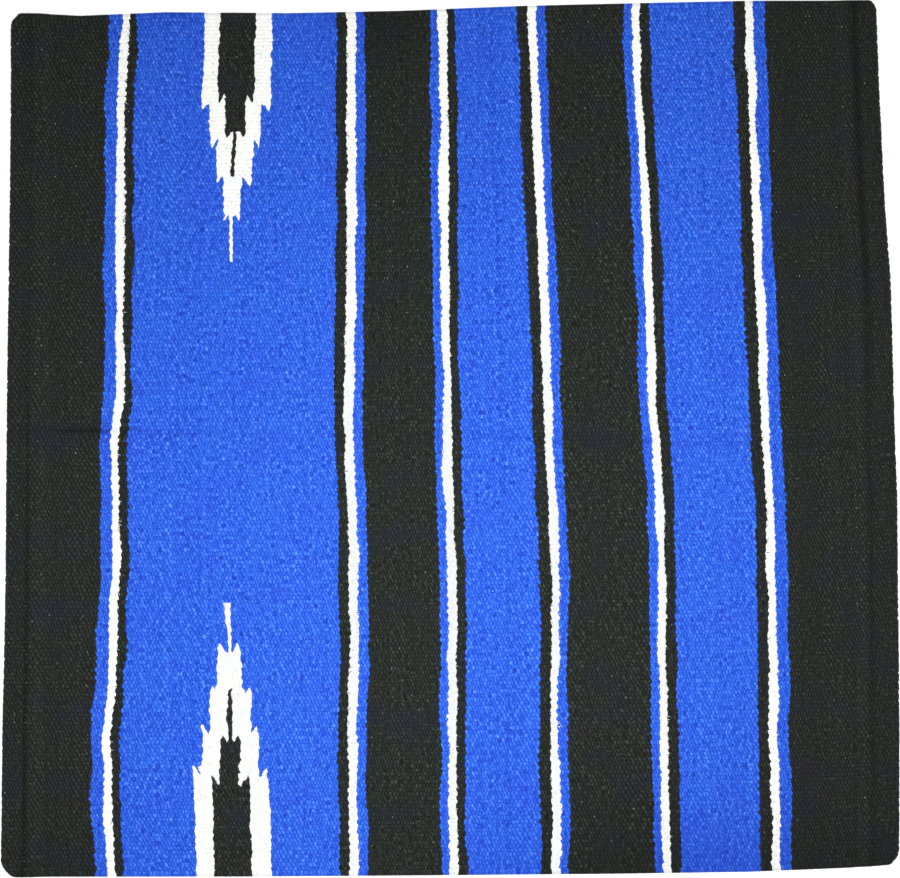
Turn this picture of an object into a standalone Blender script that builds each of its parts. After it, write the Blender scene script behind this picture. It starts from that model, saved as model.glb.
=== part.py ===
"""A weft-faced saddle blanket lying flat, with its front and rear hems turned under and stitched.

Metres, +Z up, origin under the middle of the cloth. +X points to the horse's front, +Y to its near side.
The near half folds up and over onto the off half, about an axis along X just above the tops of the hems,
so that the thick hems meet when the blanket is folded for storage.
Every colour band is a flat sleeve of weft round the warp, which runs along X from hem to hem inside them all.
"""

import math

import bmesh
import bpy
from mathutils import Vector

# Overall size of the cloth, along the horse's spine and from one side of the horse to the other
SPINE_LENGTH = 0.897
SIDE_TO_SIDE = 0.876
CORNER_RADIUS = 0.012

# Layers of the cloth
WEFT_THICKNESS = 0.002
WARP_THICKNESS = 0.0014
CLEARANCE = 0.0003
SELVEDGE_WALL = 0.0025
FOLD_WALL = 0.002

# Hem: how far its stitch line lies from the edge, and how far the turned cloth goes on past the stitch groove
HEM_WIDTH = 0.024
HEM_TAIL = 0.0025
HEM_LAYER_GAP = 0.0004
HEM_SLOPE = 0.014
HEM_SQUEEZE_SHARE = 0.75
GROOVE_WIDTH = 0.005
GROOVE_DIP = 0.0006
THREAD_DIAMETER = 0.001

# Lines of the narrow triple stripes
WHITE_LINE = 0.009
BLACK_LINE = 0.009
BLUE_LINE = 0.0095
BORDER_BLUE_LINE = 0.012

# Stepped arrows of the rear field, from the selvedge to the tip
NEAR_ARROW_LENGTH = 0.247
NEAR_ARROW_WIDTH = 0.066
OFF_ARROW_LENGTH = 0.273
OFF_ARROW_WIDTH = 0.076

# An arrow's middle at the selvedge as a share of SPINE_LENGTH, and its lean to the rear as a share of depth
ARROW_PLACE_SHARES = {"near": -0.235, "off": -0.2415}
ARROW_LEAN_SHARES = {"near": 0.033, "off": 0.016}
# Steps of an arrow, as shares of its length and width, widest first
ARROW_LENGTH_SHARES = (0.365, 0.52, 0.665, 0.815, 1.0)
ARROW_WIDTH_SHARES = (1.0, 0.745, 0.54, 0.3, 0.07)
CORE_LENGTH_SHARES = (0.34, 0.49, 0.665)
CORE_WIDTH_SHARES = (0.53, 0.28, 0.045)

# The weaving isn't quite square, so lines along Y are drawn through stations, as shares of SIDE_TO_SIDE,
# and their places along X are shares of SPINE_LENGTH. The white line of each stripe leads its two neighbours.
STATION_SHARES = (0.5, 0.36, 0.18, 0.045, 0.0, -0.07, -0.2, -0.34, -0.5)
LINE_SHARES = {
    "rear_edge": (-0.489, -0.4885, -0.491, -0.493, -0.4935, -0.494, -0.4945, -0.4975, -0.5),
    "stripe_1": (-0.36, -0.3665, -0.368, -0.368, -0.373, -0.371, -0.373, -0.382, -0.376),
    "stripe_2": (-0.11, -0.109, -0.11, -0.112, -0.1125, -0.109, -0.107, -0.1085, -0.1045),
    "stripe_3": (-0.0085, -0.0065, -0.005, -0.0035, -0.0015, -0.0005, 0.0035, 0.004, 0.0065),
    "stripe_4": (0.091, 0.097, 0.105, 0.1085, 0.111, 0.1145, 0.118, 0.117, 0.1195),
    "stripe_5": (0.208, 0.2135, 0.2225, 0.2265, 0.2295, 0.234, 0.237, 0.239, 0.2435),
    "stripe_6": (0.333, 0.3385, 0.3455, 0.3515, 0.353, 0.3585, 0.3605, 0.362, 0.3645),
    "front_edge": (0.475, 0.48, 0.492, 0.4955, 0.497, 0.499, 0.5, 0.4995, 0.499),
}

# The two selvedges, as (share of SPINE_LENGTH, share of SIDE_TO_SIDE)
SELVEDGE_SHARES = {
    "near": ((-0.5, 0.4845), (-0.42, 0.4825), (-0.28, 0.487), (-0.02, 0.491), (0.17, 0.4965), (0.33, 0.5)),
    "off": ((-0.5, -0.5), (-0.25, -0.499), (0.0, -0.4975), (0.19, -0.495), (0.5, -0.4865)),
}

# Where a rounded corner has points, as shares of its radius from the selvedge
CORNER_STEP_SHARES = (1.0, 0.6, 0.3, 0.1, 0.0)
# The hem's slope down to the flat cloth: shares of its run, each with its share of the drop
SLOPE_SHARES = ((0.25, 0.15), (0.5, 0.5), (0.75, 0.85))
HEM_ARC_STEPS = 4
THREAD_POINTS = 14
THREAD_RESOLUTION = 2
SMOOTH_ANGLE = math.radians(40)

# Yarn colours and finish: colour, roughness
YARNS = {
    "blue_yarn": ((0.028, 0.115, 0.75, 1.0), 0.85),
    "black_yarn": ((0.017, 0.021, 0.017, 1.0), 0.9),
    "white_yarn": ((0.93, 0.93, 0.91, 1.0), 0.85),
    "cotton_warp": ((0.72, 0.66, 0.55, 1.0), 0.9),
    "hem_thread": ((0.012, 0.013, 0.012, 1.0), 0.6),
}

# Worked out from the sizes above
SLOT_HALF = WARP_THICKNESS / 2 + CLEARANCE
CLOTH_HALF = SLOT_HALF + WEFT_THICKNESS
HEM_HALF = SLOT_HALF + WEFT_THICKNESS * HEM_SQUEEZE_SHARE
CLOTH_THICKNESS = 2 * CLOTH_HALF
CORNER = min(CORNER_RADIUS, HEM_WIDTH / 2)
TURNED_END = HEM_WIDTH + GROOVE_WIDTH / 2 + HEM_TAIL
HEM_LOW = HEM_HALF
HEM_HIGH = 3 * HEM_HALF + HEM_LAYER_GAP
HEM_TURN = HEM_HALF + HEM_LAYER_GAP / 2
HEM_MIDDLE = HEM_LOW + HEM_TURN
THREAD_RADIUS = THREAD_DIAMETER / 2
GROOVE_FLOOR = HEM_HIGH + HEM_HALF - 2 * GROOVE_DIP
THREAD_HEIGHT = GROOVE_FLOOR + CLEARANCE + THREAD_RADIUS
FOLD_HEIGHT = max(HEM_HIGH + HEM_HALF, THREAD_HEIGHT + THREAD_RADIUS) + CLEARANCE / 2
ARROW_SIZES = {"near": (NEAR_ARROW_LENGTH, NEAR_ARROW_WIDTH), "off": (OFF_ARROW_LENGTH, OFF_ARROW_WIDTH)}
SIDES = {"near": 1, "off": -1}
ENDS = {"rear": 1, "front": -1}

# The six triple stripes, rear to front: the white line, then the lines on its rear and on its front side
STRIPES = (
    ("stripe_1", ("blue", BORDER_BLUE_LINE), ("black", BLACK_LINE)),
    ("stripe_2", ("black", BLACK_LINE), ("blue", BLUE_LINE)),
    ("stripe_3", ("blue", BLUE_LINE), ("black", BLACK_LINE)),
    ("stripe_4", ("black", BLACK_LINE), ("blue", BLUE_LINE)),
    ("stripe_5", ("blue", BLUE_LINE), ("black", BLACK_LINE)),
    ("stripe_6", ("black", BLACK_LINE), ("blue", BORDER_BLUE_LINE)),
)
WIDE_BANDS = (
    ("motif_field", "blue"),
    ("rear_black_band", "black"),
    ("middle_blue_band", "blue"),
    ("front_black_band", "black"),
    ("front_blue_band", "blue"),
)


def material(name):
    """The Principled material of one yarn, made once."""
    found = bpy.data.materials.get(name)
    if found:
        return found
    colour, roughness = YARNS[name]
    made = bpy.data.materials.new(name)
    made.use_nodes = True
    shader = made.node_tree.nodes["Principled BSDF"]
    shader.inputs["Base Color"].default_value = colour
    shader.inputs["Roughness"].default_value = roughness
    shader.inputs["Metallic"].default_value = 0
    made.diffuse_color = colour
    return made


def read_table(places, values, at):
    """Straight-line reading of a table at one place. The places may rise or fall."""
    pairs = sorted(zip(places, values))
    if at <= pairs[0][0]:
        return pairs[0][1]
    for (low, low_value), (high, high_value) in zip(pairs, pairs[1:]):
        if at <= high:
            return low_value + (high_value - low_value) * (at - low) / (high - low)
    return pairs[-1][1]


def line_x(line, y):
    return SPINE_LENGTH * read_table(STATION_SHARES, LINE_SHARES[line], y / SIDE_TO_SIDE)


def selvedge_y(side, x):
    places, values = zip(*SELVEDGE_SHARES[side])
    return SIDE_TO_SIDE * read_table(places, values, x / SPINE_LENGTH)


def selvedge_places(side, low, high):
    """The X places of a selvedge's own points between two limits."""
    places = [SPINE_LENGTH * share for share, _ in SELVEDGE_SHARES[side]]
    return [x for x in places if low < x < high]


def boundary_x(boundary, y):
    line, offset = boundary
    return line_x(line, y) + offset


def station_y(side, line, y, depth):
    """Y where a line crosses a station: the station's own Y or, if none, this deep from the selvedge."""
    if y is not None:
        return y
    end_x = line_x(line, SIDES[side] * SIDE_TO_SIDE / 2)
    return selvedge_y(side, end_x) - SIDES[side] * depth


def inner_stations(side, start, clear_of_corner):
    """Y places of one half's stations, from the fold outward, short of the corner."""
    sign = SIDES[side]
    reach = SIDE_TO_SIDE / 2 - clear_of_corner
    rows = sorted(abs(share * SIDE_TO_SIDE) for share in STATION_SHARES if share * sign > 0)
    return [sign * row for row in rows if start < row < reach]


def corner_pull(depth):
    """How far a rounded corner draws the edge in, this deep from the selvedge."""
    if depth >= CORNER:
        return 0.0
    return CORNER - math.sqrt(CORNER**2 - (CORNER - depth) ** 2)


def hem_path(side, end, y, depth):
    """A hem's middle surface as (x, z, outer half, inner half), from its turned-under end up and over."""
    line = end + "_edge"
    edge = line_x(line, station_y(side, line, y, depth))
    turn_x = corner_pull(depth) + HEM_HALF + HEM_TURN
    rows = [(TURNED_END, HEM_LOW, HEM_HALF, HEM_HALF), (turn_x, HEM_LOW, HEM_HALF, HEM_HALF)]
    for step in range(1, HEM_ARC_STEPS):
        angle = math.pi * step / HEM_ARC_STEPS
        x = turn_x - HEM_TURN * math.sin(angle)
        z = HEM_MIDDLE - HEM_TURN * math.cos(angle)
        rows.append((x, z, HEM_HALF, HEM_HALF))
    rows.append((turn_x, HEM_HIGH, HEM_HALF, HEM_HALF))
    dipped = HEM_HALF - GROOVE_DIP
    rows.append((HEM_WIDTH - GROOVE_WIDTH / 2, HEM_HIGH, HEM_HALF, HEM_HALF))
    rows.append((HEM_WIDTH, HEM_HIGH - GROOVE_DIP, dipped, dipped))
    rows.append((HEM_WIDTH + GROOVE_WIDTH / 2, HEM_HIGH, HEM_HALF, HEM_HALF))
    rows.append((TURNED_END, HEM_HIGH, HEM_HALF, HEM_HALF))
    for run_share, drop_share in SLOPE_SHARES:
        half = HEM_HALF + (CLOTH_HALF - HEM_HALF) * run_share
        z = HEM_HIGH + (CLOTH_HALF - HEM_HIGH) * drop_share
        rows.append((TURNED_END + HEM_SLOPE * run_share, z, half, half))
    rows.append((TURNED_END + HEM_SLOPE, CLOTH_HALF, CLOTH_HALF, CLOTH_HALF))
    return [(edge + ENDS[end] * x, z, outer, inner) for x, z, outer, inner in rows]


def section(path):
    """Outer and inner points of a path, each half a thickness from it, square to it."""
    outer = []
    inner = []
    for index, (x, z, outer_half, inner_half) in enumerate(path):
        before = path[max(index - 1, 0)]
        after = path[min(index + 1, len(path) - 1)]
        along = Vector((after[0] - before[0], after[1] - before[1])).normalized()
        outer.append((x - along.y * outer_half, z + along.x * outer_half))
        inner.append((x + along.y * inner_half, z - along.x * inner_half))
    return outer, inner


def new_object(name, mesh, yarn):
    piece = bpy.data.objects.new(name, mesh)
    bpy.context.scene.collection.objects.link(piece)
    if yarn:
        mesh.materials.append(material(yarn))
    return piece


def finished_mesh(name, bm):
    bmesh.ops.recalc_face_normals(bm, faces=bm.faces)
    mesh = bpy.data.meshes.new(name)
    bm.to_mesh(mesh)
    bm.free()
    return mesh


def ribbon(name, side, path_at, fold_inset, edge_inset, yarn=None):
    """A closed strip of cloth of one half. path_at(y, depth) is its section at a station, as in station_y."""
    sign = SIDES[side]
    corner_depths = [share * CORNER for share in CORNER_STEP_SHARES if share * CORNER > edge_inset]
    stations = [(y, CORNER) for y in [sign * fold_inset] + inner_stations(side, fold_inset, 2 * CORNER)]
    stations += [(None, depth) for depth in corner_depths + [edge_inset]]
    bm = bmesh.new()
    rings = []
    for y, depth in stations:
        outer, inner = section(path_at(y, depth))
        ring = []
        for x, z in outer + inner[::-1]:
            place = selvedge_y(side, x) - sign * depth if y is None else y
            ring.append(bm.verts.new((x, place, z)))
        rings.append(ring)
    count = len(rings[0])
    for first, second in zip(rings, rings[1:]):
        for i in range(count):
            j = (i + 1) % count
            bm.faces.new((first[i], first[j], second[j], second[i]))
    for ring in (rings[0], rings[-1]):
        for i in range(count // 2 - 1):
            bm.faces.new((ring[i], ring[i + 1], ring[count - 2 - i], ring[count - 1 - i]))
    mesh = finished_mesh(name, bm)
    mesh.shade_smooth()
    mesh.set_sharp_from_angle(angle=SMOOTH_ANGLE)
    return new_object(name, mesh, yarn)


def warp_path(side, half, overrun):
    """The warp's path from one hem's turned-under end to the other's, carried past both by an overrun."""

    def path_at(y, depth):
        rear = hem_path(side, "rear", y, depth)
        front = hem_path(side, "front", y, depth)
        flat = [(x, CLOTH_HALF) for x in selvedge_places(side, rear[-1][0], front[-1][0])]
        first = (rear[0][0] + overrun, rear[0][1])
        last = (front[0][0] - overrun, front[0][1])
        middle = [point[:2] for point in rear[1:]] + flat + [point[:2] for point in front[:0:-1]]
        return [(x, z, half, half) for x, z in [first] + middle + [last]]

    return path_at


def border_path(side, end, boundary):
    """The section of a black border: its hem, and the flat cloth up to its first stripe."""

    def path_at(y, depth):
        hem = hem_path(side, end, y, depth)
        stop = boundary_x(boundary, station_y(side, boundary[0], y, depth))
        places = selvedge_places(side, min(hem[-1][0], stop), max(hem[-1][0], stop))
        flat = [(x, CLOTH_HALF, CLOTH_HALF, CLOTH_HALF) for x in places[:: ENDS[end]] + [stop]]
        path = hem + flat
        return path if end == "rear" else path[::-1]

    return path_at


def plate(name, outline, yarn):
    """A flat piece of cloth from its plan outline."""
    bm = bmesh.new()
    low = [bm.verts.new((x, y, 0)) for x, y in outline]
    high = [bm.verts.new((x, y, CLOTH_THICKNESS)) for x, y in outline]
    bm.faces.new(low)
    bm.faces.new(high)
    for i in range(len(outline)):
        j = (i + 1) % len(outline)
        bm.faces.new((low[i], low[j], high[j], high[i]))
    return new_object(name, finished_mesh(name, bm), yarn)


def edge_points(side, boundary):
    """One long edge of a band's half, from the fold to the selvedge."""
    start = CLEARANCE / 2
    rows = [SIDES[side] * start] + inner_stations(side, start, 2 * CORNER)
    points = [(boundary_x(boundary, y), y) for y in rows]
    x = boundary_x(boundary, station_y(side, boundary[0], None, 0))
    points.append((x, selvedge_y(side, x)))
    return points


def band_outline(side, rear, front, notch=()):
    """Plan outline of a flat band's half between two boundaries, with any notch at the selvedge."""
    rear_points = edge_points(side, rear)
    front_points = edge_points(side, front)
    low = rear_points[-1][0]
    high = front_points[-1][0]
    notch_low = notch[0][0] if notch else high
    notch_high = notch[-1][0] if notch else high
    selvedge = [(x, selvedge_y(side, x)) for x in selvedge_places(side, low, notch_low)]
    selvedge += list(notch)
    selvedge += [(x, selvedge_y(side, x)) for x in selvedge_places(side, notch_high, high)]
    return rear_points + selvedge + front_points[::-1]


def stepped_outline(side, length_shares, width_shares, grow):
    """A stepped arrow from the selvedge to its tip and back, rear side first, grown by a clearance."""
    length, width = ARROW_SIZES[side]
    middle = ARROW_PLACE_SHARES[side] * SPINE_LENGTH
    base = selvedge_y(side, middle)
    rear = []
    front = []
    start = 0.0
    for length_share, width_share in zip(length_shares, width_shares):
        centre = middle - ARROW_LEAN_SHARES[side] * length * (start + length_share) / 2
        half = width * width_share / 2 + grow
        stop = base - SIDES[side] * (length * length_share + grow)
        for points, x in ((rear, centre - half), (front, centre + half)):
            top = points[-1][1] if points else selvedge_y(side, x)
            points.append((x, top))
            points.append((x, stop))
        start = length_share
    return rear + front[::-1]


def weft_bands():
    """(name, yarn, rear boundary, front boundary) of the flat bands, rear to front, clear of each other."""
    found = []
    half = WHITE_LINE / 2
    last = None
    for number, (line, (rear_colour, rear_width), (front_colour, front_width)) in enumerate(STRIPES):
        places = (-half - rear_width, -half, half, half + front_width)
        if last:
            name, colour = WIDE_BANDS[number - 1]
            found.append((name, colour, last, (line, places[0])))
        colours = (rear_colour, "white", front_colour)
        for colour, low, high in zip(colours, places, places[1:]):
            found.append((line + "_" + colour, colour, (line, low), (line, high)))
        last = (line, places[-1])
    gap = CLEARANCE / 2
    return [
        (name, colour + "_yarn", (rear[0], rear[1] + gap), (front[0], front[1] - gap))
        for name, colour, rear, front in found
    ]


def cut_slot(piece, cutter):
    slot = piece.modifiers.new("warp_slot", "BOOLEAN")
    slot.operation = "DIFFERENCE"
    slot.solver = "EXACT"
    slot.object = cutter


def hem_thread(name, side, end):
    """The sewing thread that lies in one hem's groove, on one half."""
    sign = SIDES[side]
    start = sign * CLEARANCE
    stop = selvedge_y(side, line_x(end + "_edge", sign * SIDE_TO_SIDE / 2)) - sign * SELVEDGE_WALL
    route = bpy.data.curves.new(name, "CURVE")
    route.dimensions = "3D"
    route.bevel_depth = THREAD_RADIUS
    route.bevel_resolution = THREAD_RESOLUTION
    route.use_fill_caps = True
    spline = route.splines.new("POLY")
    spline.points.add(THREAD_POINTS - 1)
    for number, point in enumerate(spline.points):
        y = start + (stop - start) * number / (THREAD_POINTS - 1)
        point.co = (line_x(end + "_edge", y) + ENDS[end] * HEM_WIDTH, y, THREAD_HEIGHT, 1)
    return new_object(name, route, "hem_thread")


def clear_scene():
    for old in list(bpy.data.objects):
        bpy.data.objects.remove(old, do_unlink=True)


def build_half(side):
    """Every piece of one half, and the cutter that opens its sleeves for the warp."""
    fold = CLEARANCE / 2
    slot_start = fold + FOLD_WALL
    slot = ribbon("warp_slot_" + side, side, warp_path(side, SLOT_HALF, HEM_TAIL), slot_start, SELVEDGE_WALL)
    slot.hide_render = True
    slot.display_type = "WIRE"
    warp_half = WARP_THICKNESS / 2
    warp_start = slot_start + CLEARANCE
    warp_stop = SELVEDGE_WALL + CLEARANCE
    warp = ribbon("warp_" + side, side, warp_path(side, warp_half, 0), warp_start, warp_stop, "cotton_warp")

    bands = weft_bands()
    borders = (("rear", bands[0][2]), ("front", bands[-1][3]))
    woven = []
    for end, (line, offset) in borders:
        stop = (line, offset - ENDS[end] * CLEARANCE)
        name = end + "_border_" + side
        woven.append(ribbon(name, side, border_path(side, end, stop), fold, 0, "black_yarn"))

    notch = stepped_outline(side, ARROW_LENGTH_SHARES, ARROW_WIDTH_SHARES, CLEARANCE)
    for name, yarn, rear, front in bands:
        cut = notch if name == "motif_field" else ()
        woven.append(plate(name + "_" + side, band_outline(side, rear, front, cut), yarn))

    arrow = stepped_outline(side, ARROW_LENGTH_SHARES, ARROW_WIDTH_SHARES, 0)
    core_room = stepped_outline(side, CORE_LENGTH_SHARES, CORE_WIDTH_SHARES, CLEARANCE)
    core = stepped_outline(side, CORE_LENGTH_SHARES, CORE_WIDTH_SHARES, 0)
    woven.append(plate("arrow_" + side, arrow + core_room[::-1], "white_yarn"))
    woven.append(plate("arrow_core_" + side, core, "black_yarn"))
    for piece in woven:
        cut_slot(piece, slot)

    threads = [hem_thread(end + "_hem_thread_" + side, side, end) for end in ENDS]
    return [slot, warp] + woven + threads


def main():
    clear_scene()
    spine_fold = bpy.data.objects.new("spine_fold", None)
    bpy.context.scene.collection.objects.link(spine_fold)
    spine_fold.location = (0, 0, FOLD_HEIGHT)
    build_half("off")
    for piece in build_half("near"):
        piece.parent = spine_fold
        piece.location = -spine_fold.location


main()
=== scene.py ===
"""A weft-faced saddle blanket as it looks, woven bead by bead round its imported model.

Where a pick of weft passes over a warp cord it shows as one bead of yarn. A colour band is a run of picks, so
each band here is a mesh of its own beads, on the face and on the underside, closed at its edges.
Metres, +Z up, +X to the horse's front, +Y to its near side. The off side is the side at -Y.
"""

import math

import bpy
import numpy as np
from bpy.props import FloatProperty, FloatVectorProperty, PointerProperty
from bpy.types import Operator, Panel, PropertyGroup
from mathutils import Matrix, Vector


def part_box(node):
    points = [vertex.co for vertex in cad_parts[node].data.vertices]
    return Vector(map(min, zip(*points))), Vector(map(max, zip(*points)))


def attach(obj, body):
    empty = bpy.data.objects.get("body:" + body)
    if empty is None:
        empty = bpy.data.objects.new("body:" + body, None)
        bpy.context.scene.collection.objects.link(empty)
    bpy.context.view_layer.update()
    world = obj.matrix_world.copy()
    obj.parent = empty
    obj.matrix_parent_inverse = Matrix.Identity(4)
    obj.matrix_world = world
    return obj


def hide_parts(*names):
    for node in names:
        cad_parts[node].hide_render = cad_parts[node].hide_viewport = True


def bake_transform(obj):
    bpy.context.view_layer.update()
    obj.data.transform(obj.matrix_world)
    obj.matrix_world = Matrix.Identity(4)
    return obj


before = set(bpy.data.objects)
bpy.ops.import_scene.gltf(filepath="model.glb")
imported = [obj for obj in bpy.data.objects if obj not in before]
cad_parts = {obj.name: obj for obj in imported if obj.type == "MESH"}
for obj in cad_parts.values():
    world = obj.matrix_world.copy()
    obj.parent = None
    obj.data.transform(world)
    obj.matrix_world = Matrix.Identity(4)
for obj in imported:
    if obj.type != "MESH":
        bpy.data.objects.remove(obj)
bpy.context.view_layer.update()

bl_info = {
    "name": "Saddle blanket",
    "version": (1, 0, 0),
    "blender": (4, 5, 0),
    "location": "3D view > Sidebar > Blanket",
    "description": "Weaves a striped, weft-faced saddle blanket with stepped arrows and stitched hems",
    "category": "Add Mesh",
}

SEED = 7

# The photograph is taken from straight above, and one of its pixels is a millimetre of cloth
PIXEL = 0.001
PHOTO_MIDDLE_X = 449.5
PHOTO_MIDDLE_Y = 439.0
PHOTO_WIDTH = 900
CLOTH_LEFT_PX = 1
CLOTH_RIGHT_PX = 898

# Rows of the photograph at which the lines across the cloth are read, in pixels from its top, and each line's
# place at those rows, in pixels from its left: the two hem edges, and the white line of each triple stripe
GUIDE_ROWS_PX = (12, 80, 200, 280, 400, 420, 440, 500, 580, 660, 740, 820, 868)
GUIDES_PX = {
    "rear_edge": (10.2, 10.5, 9.3, 8.1, 6.3, 6.2, 6.1, 5.6, 5.1, 3.5, 1.7, 1.1, 0),
    "stripe_1": (126, 122, 120, 120, 119.5, 116, 114, 116.5, 115.5, 113, 107, 107.5, 111.5),
    "stripe_2": (351, 351.5, 351.5, 351, 349, 348, 349, 352, 353, 354.5, 352, 354, 355.5),
    "stripe_3": (442, 443, 444, 445, 447, 447.5, 448, 449, 452.5, 452.5, 453, 453, 455),
    "stripe_4": (532, 534.5, 540, 543.5, 547, 548, 549, 552, 556, 555, 554.5, 557, 556),
    "stripe_5": (636, 637, 645.5, 649, 652, 653.5, 655.5, 659.5, 661.5, 662.5, 664, 665.5, 667.5),
    "stripe_6": (748.5, 752, 756, 759.5, 765, 765.5, 766, 771, 772.5, 773.5, 774, 776, 776),
    "front_edge": (876.9, 879.4, 885, 891.2, 894.4, 894.9, 895.6, 897.8, 898.3, 899.3, 899.9, 899.8, 899.3),
}
# Half the stretch over which a bend in a guide line is eased, the places in it that are averaged, and how
# often the line is followed across the slanting cloth before its place is settled
GUIDE_EASING = 0.007
GUIDE_EASING_SHARES = np.linspace(-1, 1, 5)
GUIDE_ROUNDS = 3
# How many waves across the cloth a line that wanders has, and how high each is, as a share of the wander
WANDER_WAVES = (7, 13, 23, 41)
WANDER_SHARES = (0.2, 0.7)
# The two selvedges as points of the photograph
SELVEDGES_PX = {
    "near": (
        (1, 12.3),
        (40, 12.7),
        (80, 14.8),
        (165, 11.2),
        (290, 12.1),
        (400, 9.9),
        (520, 5),
        (650, 1.9),
        (750, -0.2),
        (898, -0.5),
    ),
    "off": (
        (1, 878),
        (60, 877.8),
        (250, 877.6),
        (450, 876.2),
        (620, 874.7),
        (750, 872.8),
        (850, 868.7),
        (898, 864.7),
    ),
}

# Triple stripes, rear to front: rear line's yarn and width, white line's width, front line's yarn and width
STRIPES = (
    ("stripe_1", "blue", 0.0118, 0.008, "black", 0.008),
    ("stripe_2", "black", 0.0102, 0.0091, "blue", 0.0094),
    ("stripe_3", "blue", 0.0081, 0.0089, "black", 0.0084),
    ("stripe_4", "black", 0.0112, 0.0083, "blue", 0.009),
    ("stripe_5", "blue", 0.0085, 0.0083, "black", 0.0101),
    ("stripe_6", "black", 0.0113, 0.0085, "blue", 0.0114),
)
WIDE_BANDS = (
    ("motif_field", "blue"),
    ("rear_black_band", "black"),
    ("middle_blue_band", "blue"),
    ("front_black_band", "black"),
    ("front_blue_band", "blue"),
)
# From one pick to the next where a band is beaten looser or tighter than the narrow lines
PICK_PITCHES = {
    "rear_border": 0.0019,
    "motif_field": 0.0017,
    "rear_black_band": 0.00143,
    "middle_blue_band": 0.00171,
    "front_black_band": 0.00184,
    "front_blue_band": 0.00166,
    "front_border": 0.0016,
}

# The outlines of the stepped arrows and of their cores in the photograph, from their left foot at the
# selvedge round to the right one. At each step's outer corners the yarn ends in a pointed tooth.
ARROWS_PX = {
    "near": {
        "arrow": (
            *((205.4, 0), (203.6, 57), (201.5, 101), (202.9, 111.4), (210, 101.8), (210.2, 136)),
            *((211.7, 148.4), (217.6, 139), (216.6, 156), (217.4, 184.2), (223.6, 173.4), (222, 196)),
            *((221.9, 221.6), (228.6, 214), (229, 240), (230, 261.5), (232.6, 261.5), (233, 240)),
            *((232.8, 217), (235, 213.6), (238.9, 223.4), (240.3, 213), (240.4, 196), (242.3, 175.4)),
            *((250, 186.6), (252, 181.4), (252.6, 150), (253.4, 139), (257.9, 148.8), (261.3, 132)),
            *((259.7, 113), (261.7, 103.6), (269.3, 112), (270.6, 95), (272.6, 34), (272.1, 0)),
        ),
        "core": (
            *((220.8, 0), (219, 57), (217.9, 86), (218.9, 103.6), (224.6, 93.6), (225.5, 110)),
            *((225.2, 133), (226.2, 141.4), (230.7, 132), (233.2, 131.5), (231.9, 150), (231.2, 165)),
            *((230.2, 176), (234.2, 176), (235.4, 160), (236, 147), (237, 131.5), (240.7, 131.8)),
            *((243.2, 141.4), (246.2, 134), (246.2, 112), (246, 93.6), (252.2, 104.2), (254.4, 90)),
            *((254.2, 57), (256, 30), (255.6, 0)),
        ),
    },
    "off": {
        "arrow": (
            *((195.4, 890), (195.6, 834), (193.1, 775), (191.8, 765.2), (194.6, 765), (202, 776.4)),
            *((203, 753), (202.2, 737), (200.6, 725.2), (203, 725), (209.9, 734.8), (208.7, 708)),
            *((209.8, 688), (212.6, 685), (217.5, 691.5), (217, 678), (216.7, 645), (219, 643.2)),
            *((223, 648.6), (228.2, 654.2), (227.6, 640), (226, 622), (225.6, 607), (223.7, 602.6)),
            *((230.8, 602.6), (230.5, 620), (231.2, 651.8), (232.2, 652.8), (236.7, 641.8), (240.4, 650)),
            *((241.8, 670), (242.4, 697.2), (248.3, 686.8), (251.6, 692), (250.8, 712), (251.3, 734.4)),
            *((257.5, 726), (259.6, 740), (258.7, 762), (259.9, 777.2), (267.5, 765), (267.6, 777)),
            *((270.5, 811), (271.3, 850), (271.4, 890)),
        ),
        "core": (
            *((214, 890), (213.1, 817), (213, 791), (210.9, 774), (219.3, 784.6), (220, 762)),
            *((220.5, 742), (219.4, 732), (226.6, 742.6), (228.2, 740), (228.2, 733), (226, 718)),
            *((227, 702), (228.2, 689), (230.6, 689), (231.8, 702), (232.8, 716), (232.2, 733)),
            *((232, 741), (235, 743.2), (238.3, 734.8), (241.2, 742), (239.6, 762), (237.6, 783)),
            *((240.7, 788.8), (247.9, 775), (250, 781), (250, 820), (251.5, 845), (251.9, 890)),
        ),
    },
}
# How far the beads' edges are drawn on to an outline, as a share of the way, and at most in picks and in
# cords, and how sharply an outline has to turn for one of them to be drawn right into its corner
OUTLINE_FIT = 0.4
SHARP_TURN = math.radians(75)
OUTLINE_PULL = (0.7, 0.4)

# Hems: the stitch lines' distances from the edge, from the off side to the near side
STITCH_LINES = {
    "rear": (0.0235, 0.0224, 0.0213, 0.0206, 0.0203),
    "front": (0.0266, 0.0266, 0.026, 0.024, 0.0226),
}
# How deep the stitches are buried in the weft, from the off side to the near side
STITCH_DEPTHS = {"rear": (0, 0, 0.0005, 0.0012, 0.001), "front": (0.0012, 0.0012, 0.0012, 0.0009, 0.0009)}
# Where the turned-under end lies, as a distance from the edge, then the slope down to the single cloth
TURNED_END = 0.029
HEM_SLOPE = 0.014
HEM_HALF = 0.0025
HEM_LAYER_GAP = 0.0004
HEM_TURN = HEM_HALF + HEM_LAYER_GAP / 2
GROOVE_WIDTH = 0.005
# How much of the groove comes from the cloth being squeezed. The rest comes from its being pulled down.
GROOVE_SQUEEZE_SHARE = 0.6
# How much flatter the beads lie where the weft is drawn tight over a hem's fold
FOLD_TIGHTNESS = 0.75
# Where the rear hem has caught the most lint, how far that reaches to either side, and how much more there is
LINT_LINE = 0.033
LINT_REACH = 0.007
LINT_GAIN = 0.5
# How strongly each hem's stitches pull the cloth in, from the off side to the near side
GROOVE_DIPS = {"rear": (0.0015, 0.0014, 0.0009, 0.0005), "front": (0.0004, 0.0009, 0.0013, 0.0013)}
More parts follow.
